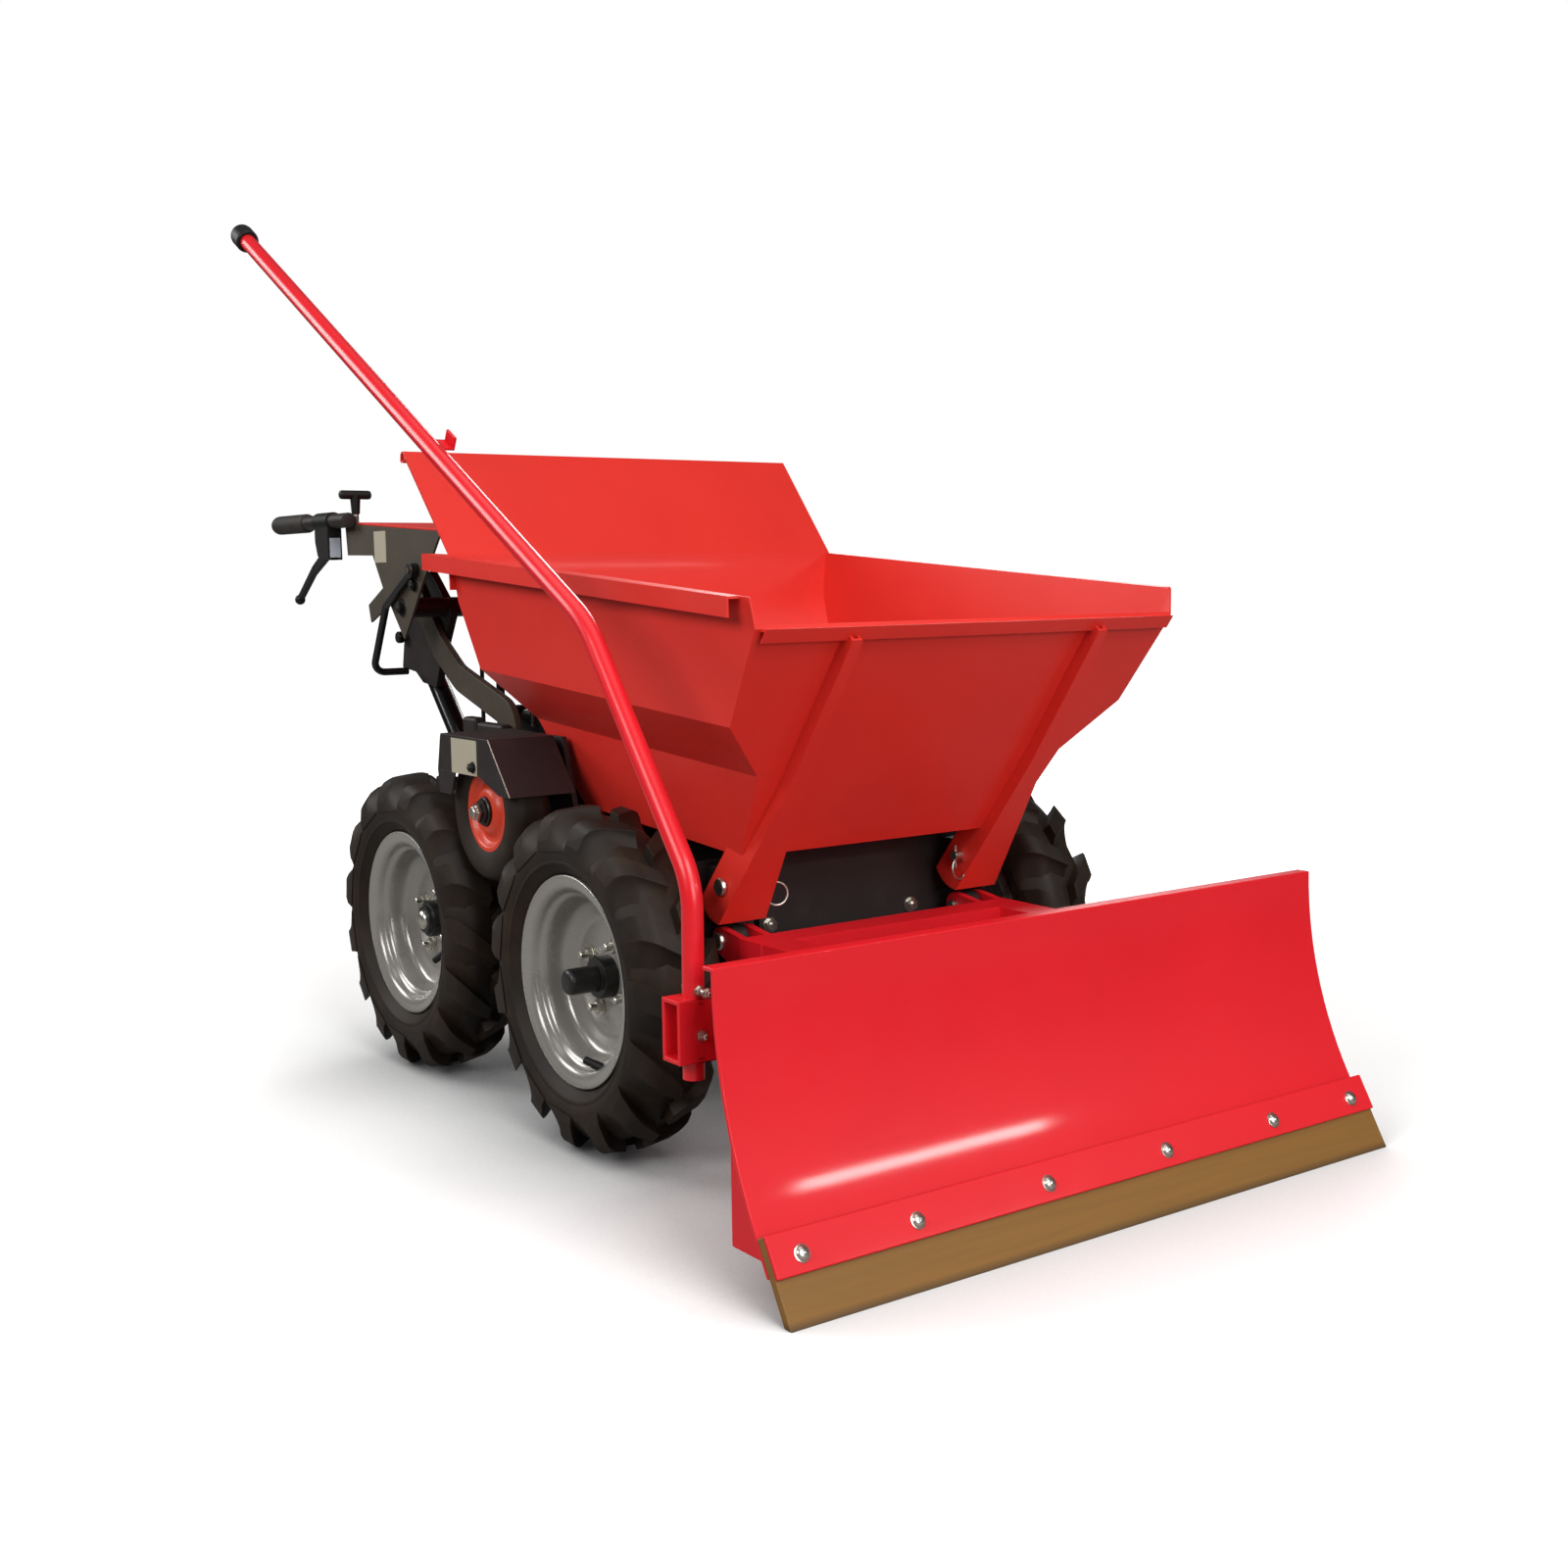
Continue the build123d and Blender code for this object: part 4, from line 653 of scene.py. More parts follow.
def plate(outline, yFrom, yTo, rounding):
    # Flat plate: outline in X and Z, pulled along Y
    bm = bmesh.new()
    face = bm.faces.new([bm.verts.new((x * mm, yFrom * mm, z * mm)) for x, z in outline])
    grown = bmesh.ops.extrude_face_region(bm, geom=[face])["geom"]
    bmesh.ops.translate(bm, verts=pick(grown, bmesh.types.BMVert), vec=(0, (yTo - yFrom) * mm, 0))
    bmesh.ops.recalc_face_normals(bm, faces=bm.faces)
    rounded(bm, bm.edges[:], rounding)
    return bm


boltTrim = dict(chamfer=0.9, tipChamfer=1.2, sunk=1, studSteps=16, washerReach=1.2, washerEdge=0.4, washerSteps=24)


def hexBolt(size, way, place):
    # Hex head on a washer with the stud end standing out: height, corner, shank, tip and washer in mm
    height, corner, shank, tip, washer = size
    bm = bmesh.new()
    bmesh.ops.create_cone(
        bm, cap_ends=True, segments=6, radius1=corner * mm, radius2=corner * mm, depth=height * mm,
    )
    moved(bm, (0, 0, (washer + height / 2) * mm))
    rims = [e for e in bm.edges if abs(e.verts[0].co.z - e.verts[1].co.z) < 1e-6]
    rounded(bm, rims, boltTrim["chamfer"])
    turned(bm, Matrix.Rotation(-math.pi / 2, 3, "X"))
    top, trim = washer + height, boltTrim["tipChamfer"]
    root = top - boltTrim["sunk"]
    stud = [(0.01, root), (shank, root), (shank, top + tip - trim), (shank - trim, top + tip), (0.01, top + tip)]
    reach = corner * boltTrim["washerReach"]
    disc = [(0.01, 0), (reach, 0), (reach, washer), (0.01, washer)]
    whole = joined(
        bm, spun(stud, boltTrim["studSteps"]), spun(disc, boltTrim["washerSteps"], boltTrim["washerEdge"]),
    )
    return aimed(whole, way, place)


def middle(nodeName):
    low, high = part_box(nodeName)
    return (low + high) / 2


tyreShape = dict(
    steps=96, lugCount=15, halfWidth=60, pitchRadius=215, rootWidth=20, endWidth=36, sweep=0.75,
    lugCuts=9, wallCuts=4, ramp=2.4, step=0.3, edge=2.4, edgeTurn=0.7,
    crown=((0, 230), (6, 230), (18, 228.4), (38, 226), (51, 218), (58.5, 203), (60, 190)),
    bed=((0, 206), (34, 206), (50, 188), (60, 176)),
    wall=(
        (213, 0), (213, 22), (209, 33), (199, 43.5), (190, 51.5), (183, 56.4), (177, 58.8), (168, 58), (161, 55.0),
        (159.5, 55.6), (157, 55.0), (155.5, 51.8), (148, 45.5), (144, 41.5), (142, 39.2), (129, 39.2),
    ),
)


def lugRing(side, turn):
    # One swept lug, shaped from a cut cube, then stepped round the tyre
    shape = tyreShape
    bm = bmesh.new()
    bmesh.ops.create_cube(bm, size=1.0)
    runs = [e for e in bm.edges if abs(e.verts[0].co.y - e.verts[1].co.y) > 0.5]
    bmesh.ops.subdivide_edges(bm, edges=runs, cuts=shape["lugCuts"], use_grid_fill=True)
    rises = [e for e in bm.edges if abs(e.verts[0].co.z - e.verts[1].co.z) > 0.5]
    bmesh.ops.subdivide_edges(bm, edges=rises, cuts=shape["wallCuts"], use_grid_fill=True)
    for v in bm.verts:
        a, b, c = v.co.x, v.co.y + 0.5, v.co.z + 0.5
        y = b * shape["halfWidth"]
        low, high = along(shape["bed"], y), along(shape["crown"], y)
        width = shape["rootWidth"] + (shape["endWidth"] - shape["rootWidth"]) * b
        flare = 1 + shape["ramp" if a > 0 else "step"] * (1 - c) ** 2
        angle = (a * width * flare - shape["sweep"] * y) / shape["pitchRadius"]
        radius = low + (high - low) * c
        v.co = Vector((radius * math.sin(angle), side * y, radius * math.cos(angle))) * mm
    bmesh.ops.recalc_face_normals(bm, faces=bm.faces)
    rounded(bm, [e for e in bm.edges if e.calc_face_angle() > shape["edgeTurn"]], shape["edge"])
    turned(bm, Matrix.Rotation(turn, 3, "Y"))
    more = shape["lugCount"] - 1
    bmesh.ops.spin(
        bm, geom=bm.verts[:] + bm.edges[:] + bm.faces[:], cent=(0, 0, 0), axis=(0, 1, 0),
        angle=2 * math.pi * more / shape["lugCount"], steps=more, use_duplicate=True,
    )
    return bm


# one spun sheet: rolled lip, bead seat, one stepped ridge and a deep bowl towards the hub; the lip's bright edge
# is a painted highlight, a thin zinc ring
rimShape = dict(
    steps=96, lip=(140, 43.1), highlightWire=1.3, lipSides=8,
    profile=(
        (141, 42.6), (141, 40.4), (139.6, 40), (127, 40), (127, 20), (111, 12), (111, -12), (127, -20), (127, -40),
        (139.6, -40), (141, -41), (141, -43), (139.6, -44), (126, -44), (123.4, -42), (123, -22), (107, -14),
        (107, -9.4), (95, -9), (88, -11.6), (82, -15), (74, -17), (28.4, -17), (28.4, -13), (74, -13), (80, -12.4),
        (86, -10), (92, -6.6), (97, -4.8), (101, -3.2), (104.2, -0.4), (106, 4), (107, 10), (107.8, 16),
        (108.8, 21), (110.4, 24.6), (113.4, 26.6), (116.4, 28), (118.4, 30.4), (119.6, 34), (121.6, 37.4),
        (124.4, 39.4), (127.6, 40.9), (132, 42), (136, 42.6), (138.4, 43.7), (139.8, 44),
    ),
)
# black hub with a long nose in front, and a short nose with a bright cap behind
hubShape = dict(
    steps=48, capSteps=32, bolt=(8, 10, 5, 10, 1.6), boltFace=-13, boltCircle=50, boltCount=4, boltTurn=27,
    back=(
        (0.01, -92), (15, -92), (15, -27), (60, -27), (62, -25.5), (62, -19), (60.5, -17), (28, -17), (28, 5),
        (26.5, 7),
    ),
    frontNose=((18.6, 7), (17.5, 8.6), (17.5, 45), (16.4, 49), (13.4, 51.4), (8, 52), (0.01, 52)),
    rearNose=((23, 7), (22, 8.4), (22, 11), (20.6, 13), (16, 13.6), (0.01, 13.6)),
    cap=((0.01, 13), (15, 13), (15, 14.2), (13.6, 17), (10, 19.2), (5, 20), (0.01, 20)),
)
valveShape = dict(
    base=(51, -26, -109), tip=(22, -38, -101), bootRadius=6.2, bootFrom=-0.12, bootTo=0.55,
    stemRadius=5.4, stemFrom=0.5, segments=16, rearTurn=-0.9,
)


def wheelBolt(side, n):
    bolt = hexBolt(hubShape["bolt"], (0, side, 0), (0, hubShape["boltFace"] * side, hubShape["boltCircle"]))
    angle = hubShape["boltTurn"] + 360 * n / hubShape["boltCount"]
    turned(bolt, Matrix.Rotation(math.radians(angle), 3, "Y"))
    return bolt


def tyreValve(side):
    shape = valveShape
    base, tip = [Vector((x, -side * y, z)) for x, y, z in (shape["base"], shape["tip"])]
    way = tip - base
    boot = [base + way * shape["bootFrom"], base + way * shape["bootTo"]]
    return joined(
        tube(boot, (), shape["bootRadius"], shape["segments"]),
        tube([base + way * shape["stemFrom"], tip], (), shape["stemRadius"], shape["segments"]),
    )


for end in ("front", "rear"):
    for hand, side in hands:
        stem = f"{end}_{hand.lower()}"
        body = f"{stem}_wheel"
        wall = tyreShape["wall"]
        carcass = spun([*wall, *sided(reversed(wall[1:]), -1)], tyreShape["steps"])
        halfPitch = math.pi / tyreShape["lugCount"]
        tyre = joined(carcass, lugRing(side, 0), lugRing(-side, halfPitch))
        rim = lathed(rimShape, "profile", (0, 1, 0), (0, 0, 0), side)
        hub = spun(sided((*hubShape["back"], *hubShape[f"{end}Nose"]), side), hubShape["steps"])
        # painted highlight: a thin bright zinc ring along the rim's lip
        lipRadius, lipFace = rimShape["lip"]
        highlightWire = [(lipRadius + r, lipFace + y) for r, y in ringOf(rimShape["lipSides"], rimShape["highlightWire"])]
        lip = spun(sided(highlightWire, side), rimShape["steps"])
        bolts = [wheelBolt(side, n) for n in range(hubShape["boltCount"])]
        valve = tyreValve(side)
        if end == "rear":
            turned(valve, Matrix.Rotation(valveShape["rearTurn"], 3, "Y"))
            bolts.append(lathed(hubShape, "cap", (0, 1, 0), (0, 0, 0), side))
        wheelBolts = joined(*bolts)
        for bm in (tyre, rim, lip, hub, valve, wheelBolts):
            moved(bm, middle(f"{stem}_tyre"))
        settle(tyre, f"{end}{hand}Tyre", "tyre", body, [f"{stem}_tyre"])
        settle(rim, f"{end}{hand}Rim", "silver", body, [f"{stem}_rim"])
        settle(lip, f"{end}{hand}RimLipHighlight", "zinc", body)
        settle(hub, f"{end}{hand}Hub", "hub", body, [f"{stem}_hub"])
        settle(wheelBolts, f"{end}{hand}WheelBolts", "zinc", body)
        settle(valve, f"{end}{hand}Valve", "plastic", body)
print("wheels turned")

# friction wheels: the boss's bore opens at both ends, clear of the fillets on its stub axle
idlerShape = dict(
    steps=72, nut=(9.4, 13, 8.6, 5, 2.2), nutFace=30.3,
    tread=(
        (58.1, 24), (66, 27.5), (79, 31), (86, 30.6), (92, 28.4), (96.5, 24.4), (99.6, 19), (101, 12.5),
        (101, -12.5), (99.6, -19), (96.5, -24.4), (92, -28.4), (86, -30.6), (79, -31), (66, -27.5), (58.1, -24),
    ),
    wheel=(
        (22.2, -24), (22.2, 22.2), (20.8, 22.6), (20.8, 24.6), (22, 25.4), (27, 25), (31, 23.4), (34.4, 20.4),
        (37.5, 17), (41, 15.6), (44.5, 16), (47.5, 17.8), (50.5, 21.6), (52.2, 23.5), (54, 24), (58, 24),
        (58, -24), (53, -24), (40, -2), (24, -2),
    ),
    boss=(
        (10.1, -27.8), (11.6, -29.4), (20.5, -29.4), (22, -28), (22, 22), (20.6, 22.4), (20.6, 28.4), (19, 30),
        (11.6, 30), (10.1, 28.4),
    ),
)
for hand, side in hands:
    stem = f"idler_{hand.lower()}"
    tread, wheel, boss = [
        lathed(idlerShape, k, (0, 1, 0), (0, 0, 0), side) for k in ("tread", "wheel", "boss")
    ]
    nut = hexBolt(idlerShape["nut"], (0, side, 0), (0, side * idlerShape["nutFace"], 0))
    for bm in (tread, wheel, boss, nut):
        moved(bm, middle(f"{stem}_tyre"))
    settle(tread, f"idler{hand}Tyre", "tyre", stem, [f"{stem}_tyre"])
    settle(wheel, f"idler{hand}Rim", "idler", stem, [f"{stem}_rim"])
    settle(boss, f"idler{hand}Boss", "hub", stem)
    settle(nut, f"idler{hand}Nut", "zinc", "chassis")
print("friction wheels turned")

# lift lever: bent tube, end cap, catch plate and the cross bolt above the beam
leverShape = dict(
    route=((688, -452, 209), (692, -452, 426), (474.7, -452, 703.8), (-628, -452, 1313.3)), bends=(90, 160),
    radius=12.3, segments=32, catchAt=780, catchFrom=10.5, catchWidth=28, catchReach=23, catchRise=19,
    catchSheet=4, catchEdge=1.2, capSteps=40,
    boltRadius=3.2, boltSegments=16, boltRun=((676, -452, 310), (719, -452, 309)),
    cap=(
        (0.01, -6), (12.5, -6), (16, -4.8), (17.9, -2), (18.5, 2), (18.5, 26), (17.9, 28.6), (16.4, 30),
        (12.1, 30), (12.1, 0), (0.01, 0),
    ),
    bolts=(
        ((4, 5.5, 3.2, 3, 1), (-1, 0, 0), (678, -452, 310)), ((4, 5.5, 3.2, 2, 1), (1, 0, 0), (702.4, -452, 309)),
        ((4, 5.5, 3.2, 1, 1), (1, 0, 0), (718, -452, 309)), ((4, 5.5, 3.2, 4, 1.2), (1, 0, 0), (705, -451, 260)),
    ),
)
leverTube = tube(leverShape["route"], leverShape["bends"], leverShape["radius"], leverShape["segments"])
settle(leverTube, "liftLever", "lever", "blade", ["lift_lever"])
elbow, tip = Vector(leverShape["route"][2]), Vector(leverShape["route"][3])
tipRun = (elbow - tip).normalized()
settle(lathed(leverShape, "cap", tipRun, tip), "leverCap", "plastic", "blade", ["lever_cap"])
near, edge = leverShape["catchFrom"], leverShape["catchEdge"]
reach, sheet = leverShape["catchReach"] + near, leverShape["catchSheet"]
half = leverShape["catchWidth"] / 2
catch = joined(
    brick((-half, near, -sheet / 2), (half, reach, sheet / 2), edge),
    brick((-half, reach - sheet, -sheet / 2), (half, reach, leverShape["catchRise"] - sheet / 2), edge),
)
outward = Vector((0, 1, 0))
turned(catch, Matrix((tipRun, outward, tipRun.cross(outward))).transposed())
moved(catch, (tip + tipRun * leverShape["catchAt"]) * mm)
settle(catch, "leverCatch", "frame", "blade")
leverBolts = [hexBolt(*bolt) for bolt in leverShape["bolts"]]
leverBolts.append(tube(leverShape["boltRun"], (), leverShape["boltRadius"], leverShape["boltSegments"]))
settle(joined(*leverBolts), "leverBolts", "zinc", "blade")
print("lift lever bent")

# blade fixings: domed bolts with washers along the clamp strip, nuts behind
bolts = []
for y in edgeBolts["stations"]:
    seat = Vector((edgeBolts["seat"][0], y, edgeBolts["seat"][1]))
    bolts.append(lathed(edgeBolts, "head", boltWay, seat))
    bolts.append(hexBolt(edgeBolts["nut"], -boltWay, seat - boltWay * edgeBolts["stack"]))
settle(joined(*bolts), "edgeBolts", "zinc", "blade", ["edge_bolts"])

# hinge pins with domed heads, a ring clip and its rod at the inner end of each skip pin, bolts of the front cover
pinShape = dict(
    steps=32, skipAxis=(417, 0, 361), bladeAxis=(396, 0, 286),
    skipPin=(
        (0.01, 155.6), (6.4, 155.6), (8, 157.4), (8, 234.1), (12, 234.1), (12, 236.6), (10.4, 239.2), (6, 240),
        (0.01, 240.1),
    ),
    bladePin=(
        (0.01, 168), (6.4, 168), (8, 169.8), (8, 224.4), (12, 224.4), (12, 227), (10.4, 229.5), (6, 230.3),
        (0.01, 230.4),
    ),
)
clipShape = dict(
    wire=1.5, wireSides=10, radius=15, steps=40, place=(429, 156, 345), way=(1, 0.25, 0.1),
    rod=((417, 160, 344), (417, 160, 376)), rodRadius=2.4, rodSegments=12,
)
coverBolt = dict(size=(6, 9, 5, 3, 1.6), places=((362, -122, 289), (362, 122, 289)))
for hand, side in hands:
    pins = joined(
        lathed(pinShape, "skipPin", (0, 1, 0), pinShape["skipAxis"], side),
        lathed(pinShape, "bladePin", (0, 1, 0), pinShape["bladeAxis"], side),
    )
    settle(pins, f"hingePins{hand}", "zinc", "chassis", ["hinge_pins"])
    clip = bmesh.new()
    bmesh.ops.create_circle(clip, radius=clipShape["wire"] * mm, segments=clipShape["wireSides"])
    turned(clip, Matrix.Rotation(math.pi / 2, 3, "Y"))
    moved(clip, (0, 0, clipShape["radius"] * mm))
    bmesh.ops.spin(
        clip, geom=clip.verts[:] + clip.edges[:], cent=(0, 0, 0), axis=(0, 1, 0), angle=2 * math.pi,
        steps=clipShape["steps"], use_merge=True,
    )
    bmesh.ops.recalc_face_normals(clip, faces=clip.faces)
    way, place, foot, head = [
        (x, side * y, z) for x, y, z in (clipShape["way"], clipShape["place"], *clipShape["rod"])
    ]
    aimed(clip, way, place)
    rod = tube([foot, head], (), clipShape["rodRadius"], clipShape["rodSegments"])
    settle(joined(clip, rod), f"ringClip{hand}", "zinc", "chassis")
coverBolts = [hexBolt(coverBolt["size"], (1, 0, 0), place) for place in coverBolt["places"]]
settle(joined(*coverBolts), "coverBolts", "zinc", "chassis", ["cover_bolts"])
print("pins, clips and bolts fitted")

# axles, cross tube, handlebars and grips are turned round their own lines
handleShape = dict(
    steps=32, gripSteps=40, plane=312.8, height=857, gripEnd=-907.1, tubeEnd=-899.5,
    tube=((0.01, 0), (11.3, 0), (12.5, 1.2), (12.5, 324.1), (11.3, 325), (0.01, 325)),
    grip=(
        (0.01, 0), (8, 0.5), (12.4, 2.6), (15.2, 6.6), (16.3, 12), (16.5, 18), (16.5, 143), (15.8, 147),
        (14.2, 149.4), (12.6, 150), (12.6, 8), (0.01, 8),
    ),
    cross=((0.01, -300), (15, -300), (16, -299), (16, 299), (15, 300), (0.01, 300)), crossPlace=(-400, 0, 712),
)
axleShape = dict(
    steps=48, frontPlace=(266, 0, 230), rearPlace=(-266, 0, 230),
    front=((15.1, -299.5), (26.5, -299.5), (28, -298), (28, 298), (26.5, 299.5), (15.1, 299.5)),
    rear=(
        (15.1, 86), (44, 86), (44, 94.6), (42.6, 96), (32, 96), (28, 99), (28, 298), (26.5, 299.5), (15.1, 299.5),
    ),
    flangeBolt=(5, 6, 3.4, 1.5, 1), flangeFace=96, boltCircle=37, boltCount=4,
)
handles = []
for hand, side in hands:
    y, z = side * handleShape["plane"], handleShape["height"]
    handles.append(lathed(handleShape, "tube", (1, 0, 0), (handleShape["tubeEnd"], y, z)))
    grip = lathed(handleShape, "grip", (1, 0, 0), (handleShape["gripEnd"], y, z))
    settle(grip, f"grip{hand}", "rubber", "chassis", [f"grip_{hand.lower()}"])
settle(joined(*handles), "handleTubes", "black", "chassis", ["handle_tubes"])
crossTube = lathed(handleShape, "cross", (0, 1, 0), handleShape["crossPlace"])
settle(crossTube, "crossTube", "black", "chassis", ["cross_tube"])
frontAxle = lathed(axleShape, "front", (0, 1, 0), axleShape["frontPlace"])
settle(frontAxle, "frontAxle", "black", "chassis", ["front_axle"])
rearTubes, flangeBolts = [], []
for side in (-1, 1):
    rearTubes.append(lathed(axleShape, "rear", (0, 1, 0), axleShape["rearPlace"], side))
    x, y, z = axleShape["rearPlace"]
    for dx, dz in ringOf(axleShape["boltCount"], axleShape["boltCircle"], math.pi / 4):
        place = (x + dx, y + side * axleShape["flangeFace"], z + dz)
        flangeBolts.append(hexBolt(axleShape["flangeBolt"], (0, side, 0), place))
settle(joined(*rearTubes), "rearAxle", "black", "chassis", ["rear_axle"])
settle(joined(*flangeBolts), "axleFlangeBolts", "zinc", "chassis")

# support arms with their feet, column plates with their struts, and the rear tails of the hoods
armShape = dict(
    route=((-156, 300), (-156, 548), (-332, 600), (-405, 648), (-540, 790)), bends=(30, 90, 90), blank=10,
    width=44, sheet=12, inner=228, edge=2, edgeTurn=0.7,
)
footShape = dict(blocks=((-274, 543, 46), (-224, 537, 84)), inner=241, outer=262, low=495, edge=6)
columnShape = dict(
    inner=214, gap=0.2, edge=2, strutPlane=209, strutRadius=17, strutSegments=32,
    strut=((-486.2, 600.8), (-206, 300)),
    outline=(
        (-500, 770), (-448, 770), (-372, 704), (-412, 640), (-440, 580), (-492, 585), (-520, 602), (-574, 608),
        (-556, 690),
    ),
)
tailShape = dict(
    face=380, sheet=3, edge=0.8,
    outline=((-104, 448), (-110, 482), (-98.2, 534), (-98.2, 482), (-52, 482), (-66, 448)),
)
arms, columns, struts, feet, tails = [], [], [], [], []
for side in (-1, 1):
    armPlane = side * (armShape["inner"] + armShape["sheet"] / 2)
    armRoute = [(x, armPlane, z) for x, z in armShape["route"]]
    arm = tube(armRoute, armShape["bends"], armShape["blank"], flat=(armShape["width"], armShape["sheet"]))
    rounded(arm, [e for e in arm.edges if e.calc_face_angle() > armShape["edgeTurn"]], armShape["edge"])
    arms.append(arm)
    columnFace = side * (armShape["inner"] - columnShape["gap"])
    columns.append(plate(columnShape["outline"], side * columnShape["inner"], columnFace, columnShape["edge"]))
    strutRoute = [(x, side * columnShape["strutPlane"], z) for x, z in columnShape["strut"]]
    struts.append(tube(strutRoute, (), columnShape["strutRadius"], columnShape["strutSegments"]))
    nearer, further = sorted((side * footShape["inner"], side * footShape["outer"]))
    for x, high, length in footShape["blocks"]:
        feet.append(brick((x, nearer, footShape["low"]), (x + length, further, high), footShape["edge"], 3))
    tailInner, tailFace = side * (tailShape["face"] - tailShape["sheet"]), side * tailShape["face"]
    tails.append(plate(tailShape["outline"], tailInner, tailFace, tailShape["edge"]))
# painted light and shade: the arms take the lighter copy of the black coat, the column plates the darker one
settle(joined(*arms), "handleArms", "litBlackDusty", "chassis", ["handle_arms"])
settle(joined(*columns), "columnBrackets", "black", "chassis", ["column_brackets"])
settle(joined(*struts), "columnStruts", "bar", "chassis")
settle(joined(*feet), "armFeet", "black", "chassis")
settle(joined(*tails), "hoodTails", "black", "chassis")

# gear lever: steel stem, moulded neck and T-bar
gearShape = dict(
    place=(-604, -288), foot=817, neckFoot=868, stemTop=872, stemRadius=5, stemSegments=20, bar=900, steps=24,
    neck=((0.01, 0), (6.5, 0), (7, 2), (9, 32), (0.01, 32)),
    grip=((0.01, -27.5), (4.5, -27.5), (6.8, -26), (7.5, -23), (7.5, 23), (6.8, 26), (4.5, 27.5), (0.01, 27.5)),
)
stemRoute = [(*gearShape["place"], gearShape[k]) for k in ("foot", "stemTop")]
gearStem = tube(stemRoute, (), gearShape["stemRadius"], gearShape["stemSegments"])
settle(gearStem, "gearStem", "zinc", "gear_lever", ["gear_lever"])
gearGrip = joined(
    lathed(gearShape, "neck", (0, 0, 1), (*gearShape["place"], gearShape["neckFoot"])),
    lathed(gearShape, "grip", (0, 1, 0), (*gearShape["place"], gearShape["bar"])),
)
settle(gearGrip, "gearGrip", "plastic", "gear_lever")

# release rod with its eye, and the thin tubes behind the column
rodShape = dict(
    route=((-339, -307, 771), (-447, -307, 715), (-510, -307, 605), (-510, -246, 605)), bends=(22, 22), radius=6,
    eye=((5.1, -7), (10.6, -7), (12, -5.8), (12, 5.3), (10.6, 6.5), (5.1, 6.5)), eyeSteps=28,
)
conduitShape = dict(
    tops=((-378, -174, 3.5), (-374, -143.5, 7)), top=836, knee=430, behind=-325, low=350, foot=300, bends=(26, 26),
    segments=20,
)
eye = lathed(rodShape, "eye", (0, 1, 0), rodShape["route"][0])
release = joined(tube(rodShape["route"], rodShape["bends"], rodShape["radius"]), eye)
settle(release, "releaseRod", "hub", "release_lever", ["release_lever"])
conduits = []
for x, y, radius in conduitShape["tops"]:
    behind = conduitShape["behind"]
    conduitRoute = [
        (x, y, conduitShape["top"]), (x, y, conduitShape["knee"]),
        (behind, y, conduitShape["low"]), (behind, y, conduitShape["foot"]),
    ]
    conduits.append(tube(conduitRoute, conduitShape["bends"], radius, conduitShape["segments"]))
settle(joined(*conduits), "controlConduits", "plastic", "chassis", ["control_conduits"])
print("handlebars and controls fitted")

# blank plates and small fittings on the right-hand side, with a painted highlight along the hood's sloped edge
blankPlates = dict(
    hoodPlate=dict(low=(-60, -380.9, 481), high=(21, -379.8, 531), finish="label"),
    consolePlate=dict(low=(-501, -300.8, 785), high=(-454, -299.8, 836), finish="label"),
    perchPlate=dict(low=(-640.4, -322, 796), high=(-639.4, -303, 829), finish="paleLabel"),
)
blankEdge = 0.3
# painted highlight: a thin bright zinc line along the hood's sloped edge
hoodHighlightLine = dict(route=((56.5, -379.6, 534.5), (118.5, -379.6, 459.6)), radius=1.1, segments=8)
consoleBolts = (
    ((6, 9, 5, 2, 1.6), (-348, -300, 748)), ((5, 7, 4, 2, 1.6), (10, -380.6, 493)),
    ((7, 10, 5, 2, 1.6), (-400, -300, 712)),
)
for name, blank in blankPlates.items():
    blankPlate = brick(blank["low"], blank["high"], blankEdge)
    settle(blankPlate, name, blank["finish"], "chassis")
# the painted highlight on the hood's edge
edgeHighlight = tube(hoodHighlightLine["route"], (), hoodHighlightLine["radius"], hoodHighlightLine["segments"])
settle(edgeHighlight, "hoodEdgeHighlight", "zinc", "chassis")
fittings = joined(*[hexBolt(size, (0, -1, 0), place) for size, place in consoleBolts])
settle(fittings, "consoleBolts", "hub", "chassis")

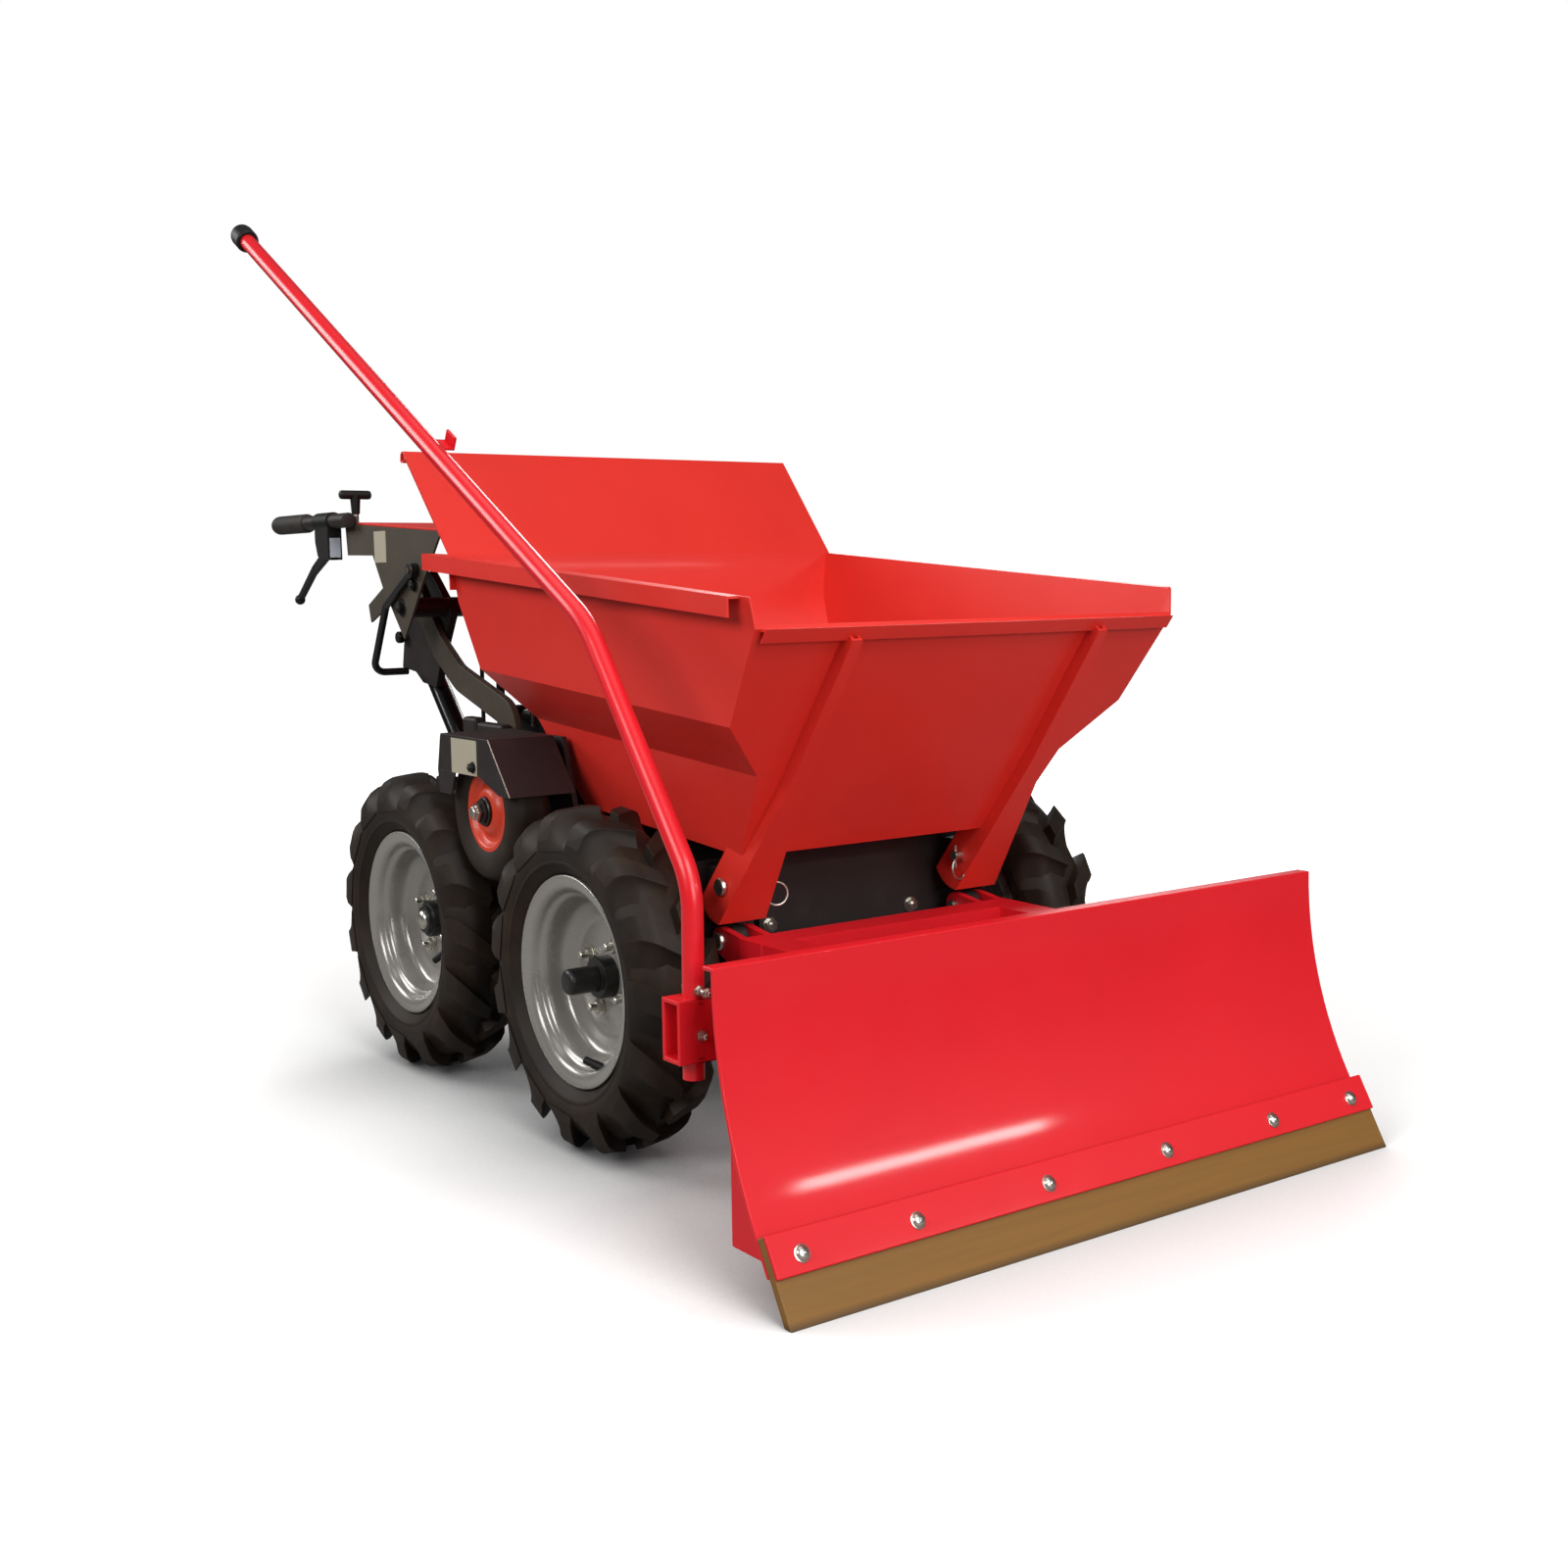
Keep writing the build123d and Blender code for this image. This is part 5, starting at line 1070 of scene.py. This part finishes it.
# engine fittings: recoil boss and screws, ribbed tank cap, knobs, cleaner latch and clip, exhaust outlet
recoilShape = dict(
    place=(-150, 0), top=492, boss=((0.01, 0), (24, 0), (24, 3), (20, 6), (0.01, 7)), steps=32,
    screw=(4, 5.5, 3, 1, 1), screwCircle=100, screwCount=4, screwHeight=457.5,
)
capShape = dict(
    place=(-195, 149.3), foot=478, steps=36,
    ribCount=18, ribCircle=21.4, ribRadius=1.3, ribSegments=6, ribEnds=(480, 491),
    profile=((0.01, 0), (21, 0), (21.6, 2), (21.6, 13), (20, 16.4), (14, 17.4), (0.01, 17.4)),
)
knobShape = dict(
    steps=24, cleanerPlace=(-262, -168, 544), columnPlace=(-556, -228.2, 660),
    cleaner=((0.01, 0), (7, 0), (7, 4), (13, 5), (14, 8), (12.6, 12), (0.01, 13)),
    column=((0.01, 0), (7, 0), (7, 4), (9.6, 5), (10, 7), (10, 13), (8.4, 15), (0.01, 15.4)),
)
latchShape = dict(
    latch=((-188, -190, 524), (-156, -152, 553)), latchEdge=7,
    clip=((-174, -192.4, 530), (-167, -189.6, 549)), clipEdge=1.2,
)
outletShape = dict(
    place=(-384, 26, 352), profile=((9, 0), (12, 0), (12, 20), (11.2, 21), (9.8, 21), (9, 20)), steps=24,
)
x, y = recoilShape["place"]
engineBits = [lathed(recoilShape, "boss", (0, 0, 1), (x, y, recoilShape["top"]))]
for dx, dy in ringOf(recoilShape["screwCount"], recoilShape["screwCircle"], math.pi / 4):
    place = (x + dx, y + dy, recoilShape["screwHeight"])
    engineBits.append(hexBolt(recoilShape["screw"], (0, 0, 1), place))
settle(joined(*engineBits), "engineScrews", "zinc", "chassis")
x, y = capShape["place"]
mouldings = [lathed(capShape, "profile", (0, 0, 1), (x, y, capShape["foot"]))]
for dx, dy in ringOf(capShape["ribCount"], capShape["ribCircle"]):
    ribRoute = [(x + dx, y + dy, z) for z in capShape["ribEnds"]]
    mouldings.append(tube(ribRoute, (), capShape["ribRadius"], capShape["ribSegments"]))
mouldings.append(lathed(knobShape, "cleaner", (0, 0, 1), knobShape["cleanerPlace"]))
mouldings.append(brick(*latchShape["latch"], latchShape["latchEdge"], 3))
mouldings.append(lathed(knobShape, "column", (0, -1, 0), knobShape["columnPlace"]))
settle(joined(*mouldings), "tankCapAndKnob", "plastic", "chassis")
settle(brick(*latchShape["clip"], latchShape["clipEdge"]), "cleanerClip", "zinc", "chassis")
outlet = lathed(outletShape, "profile", (-1, 0, 0), outletShape["place"])
settle(outlet, "exhaustOutlet", "heatCoat", "chassis")
print("fittings done")
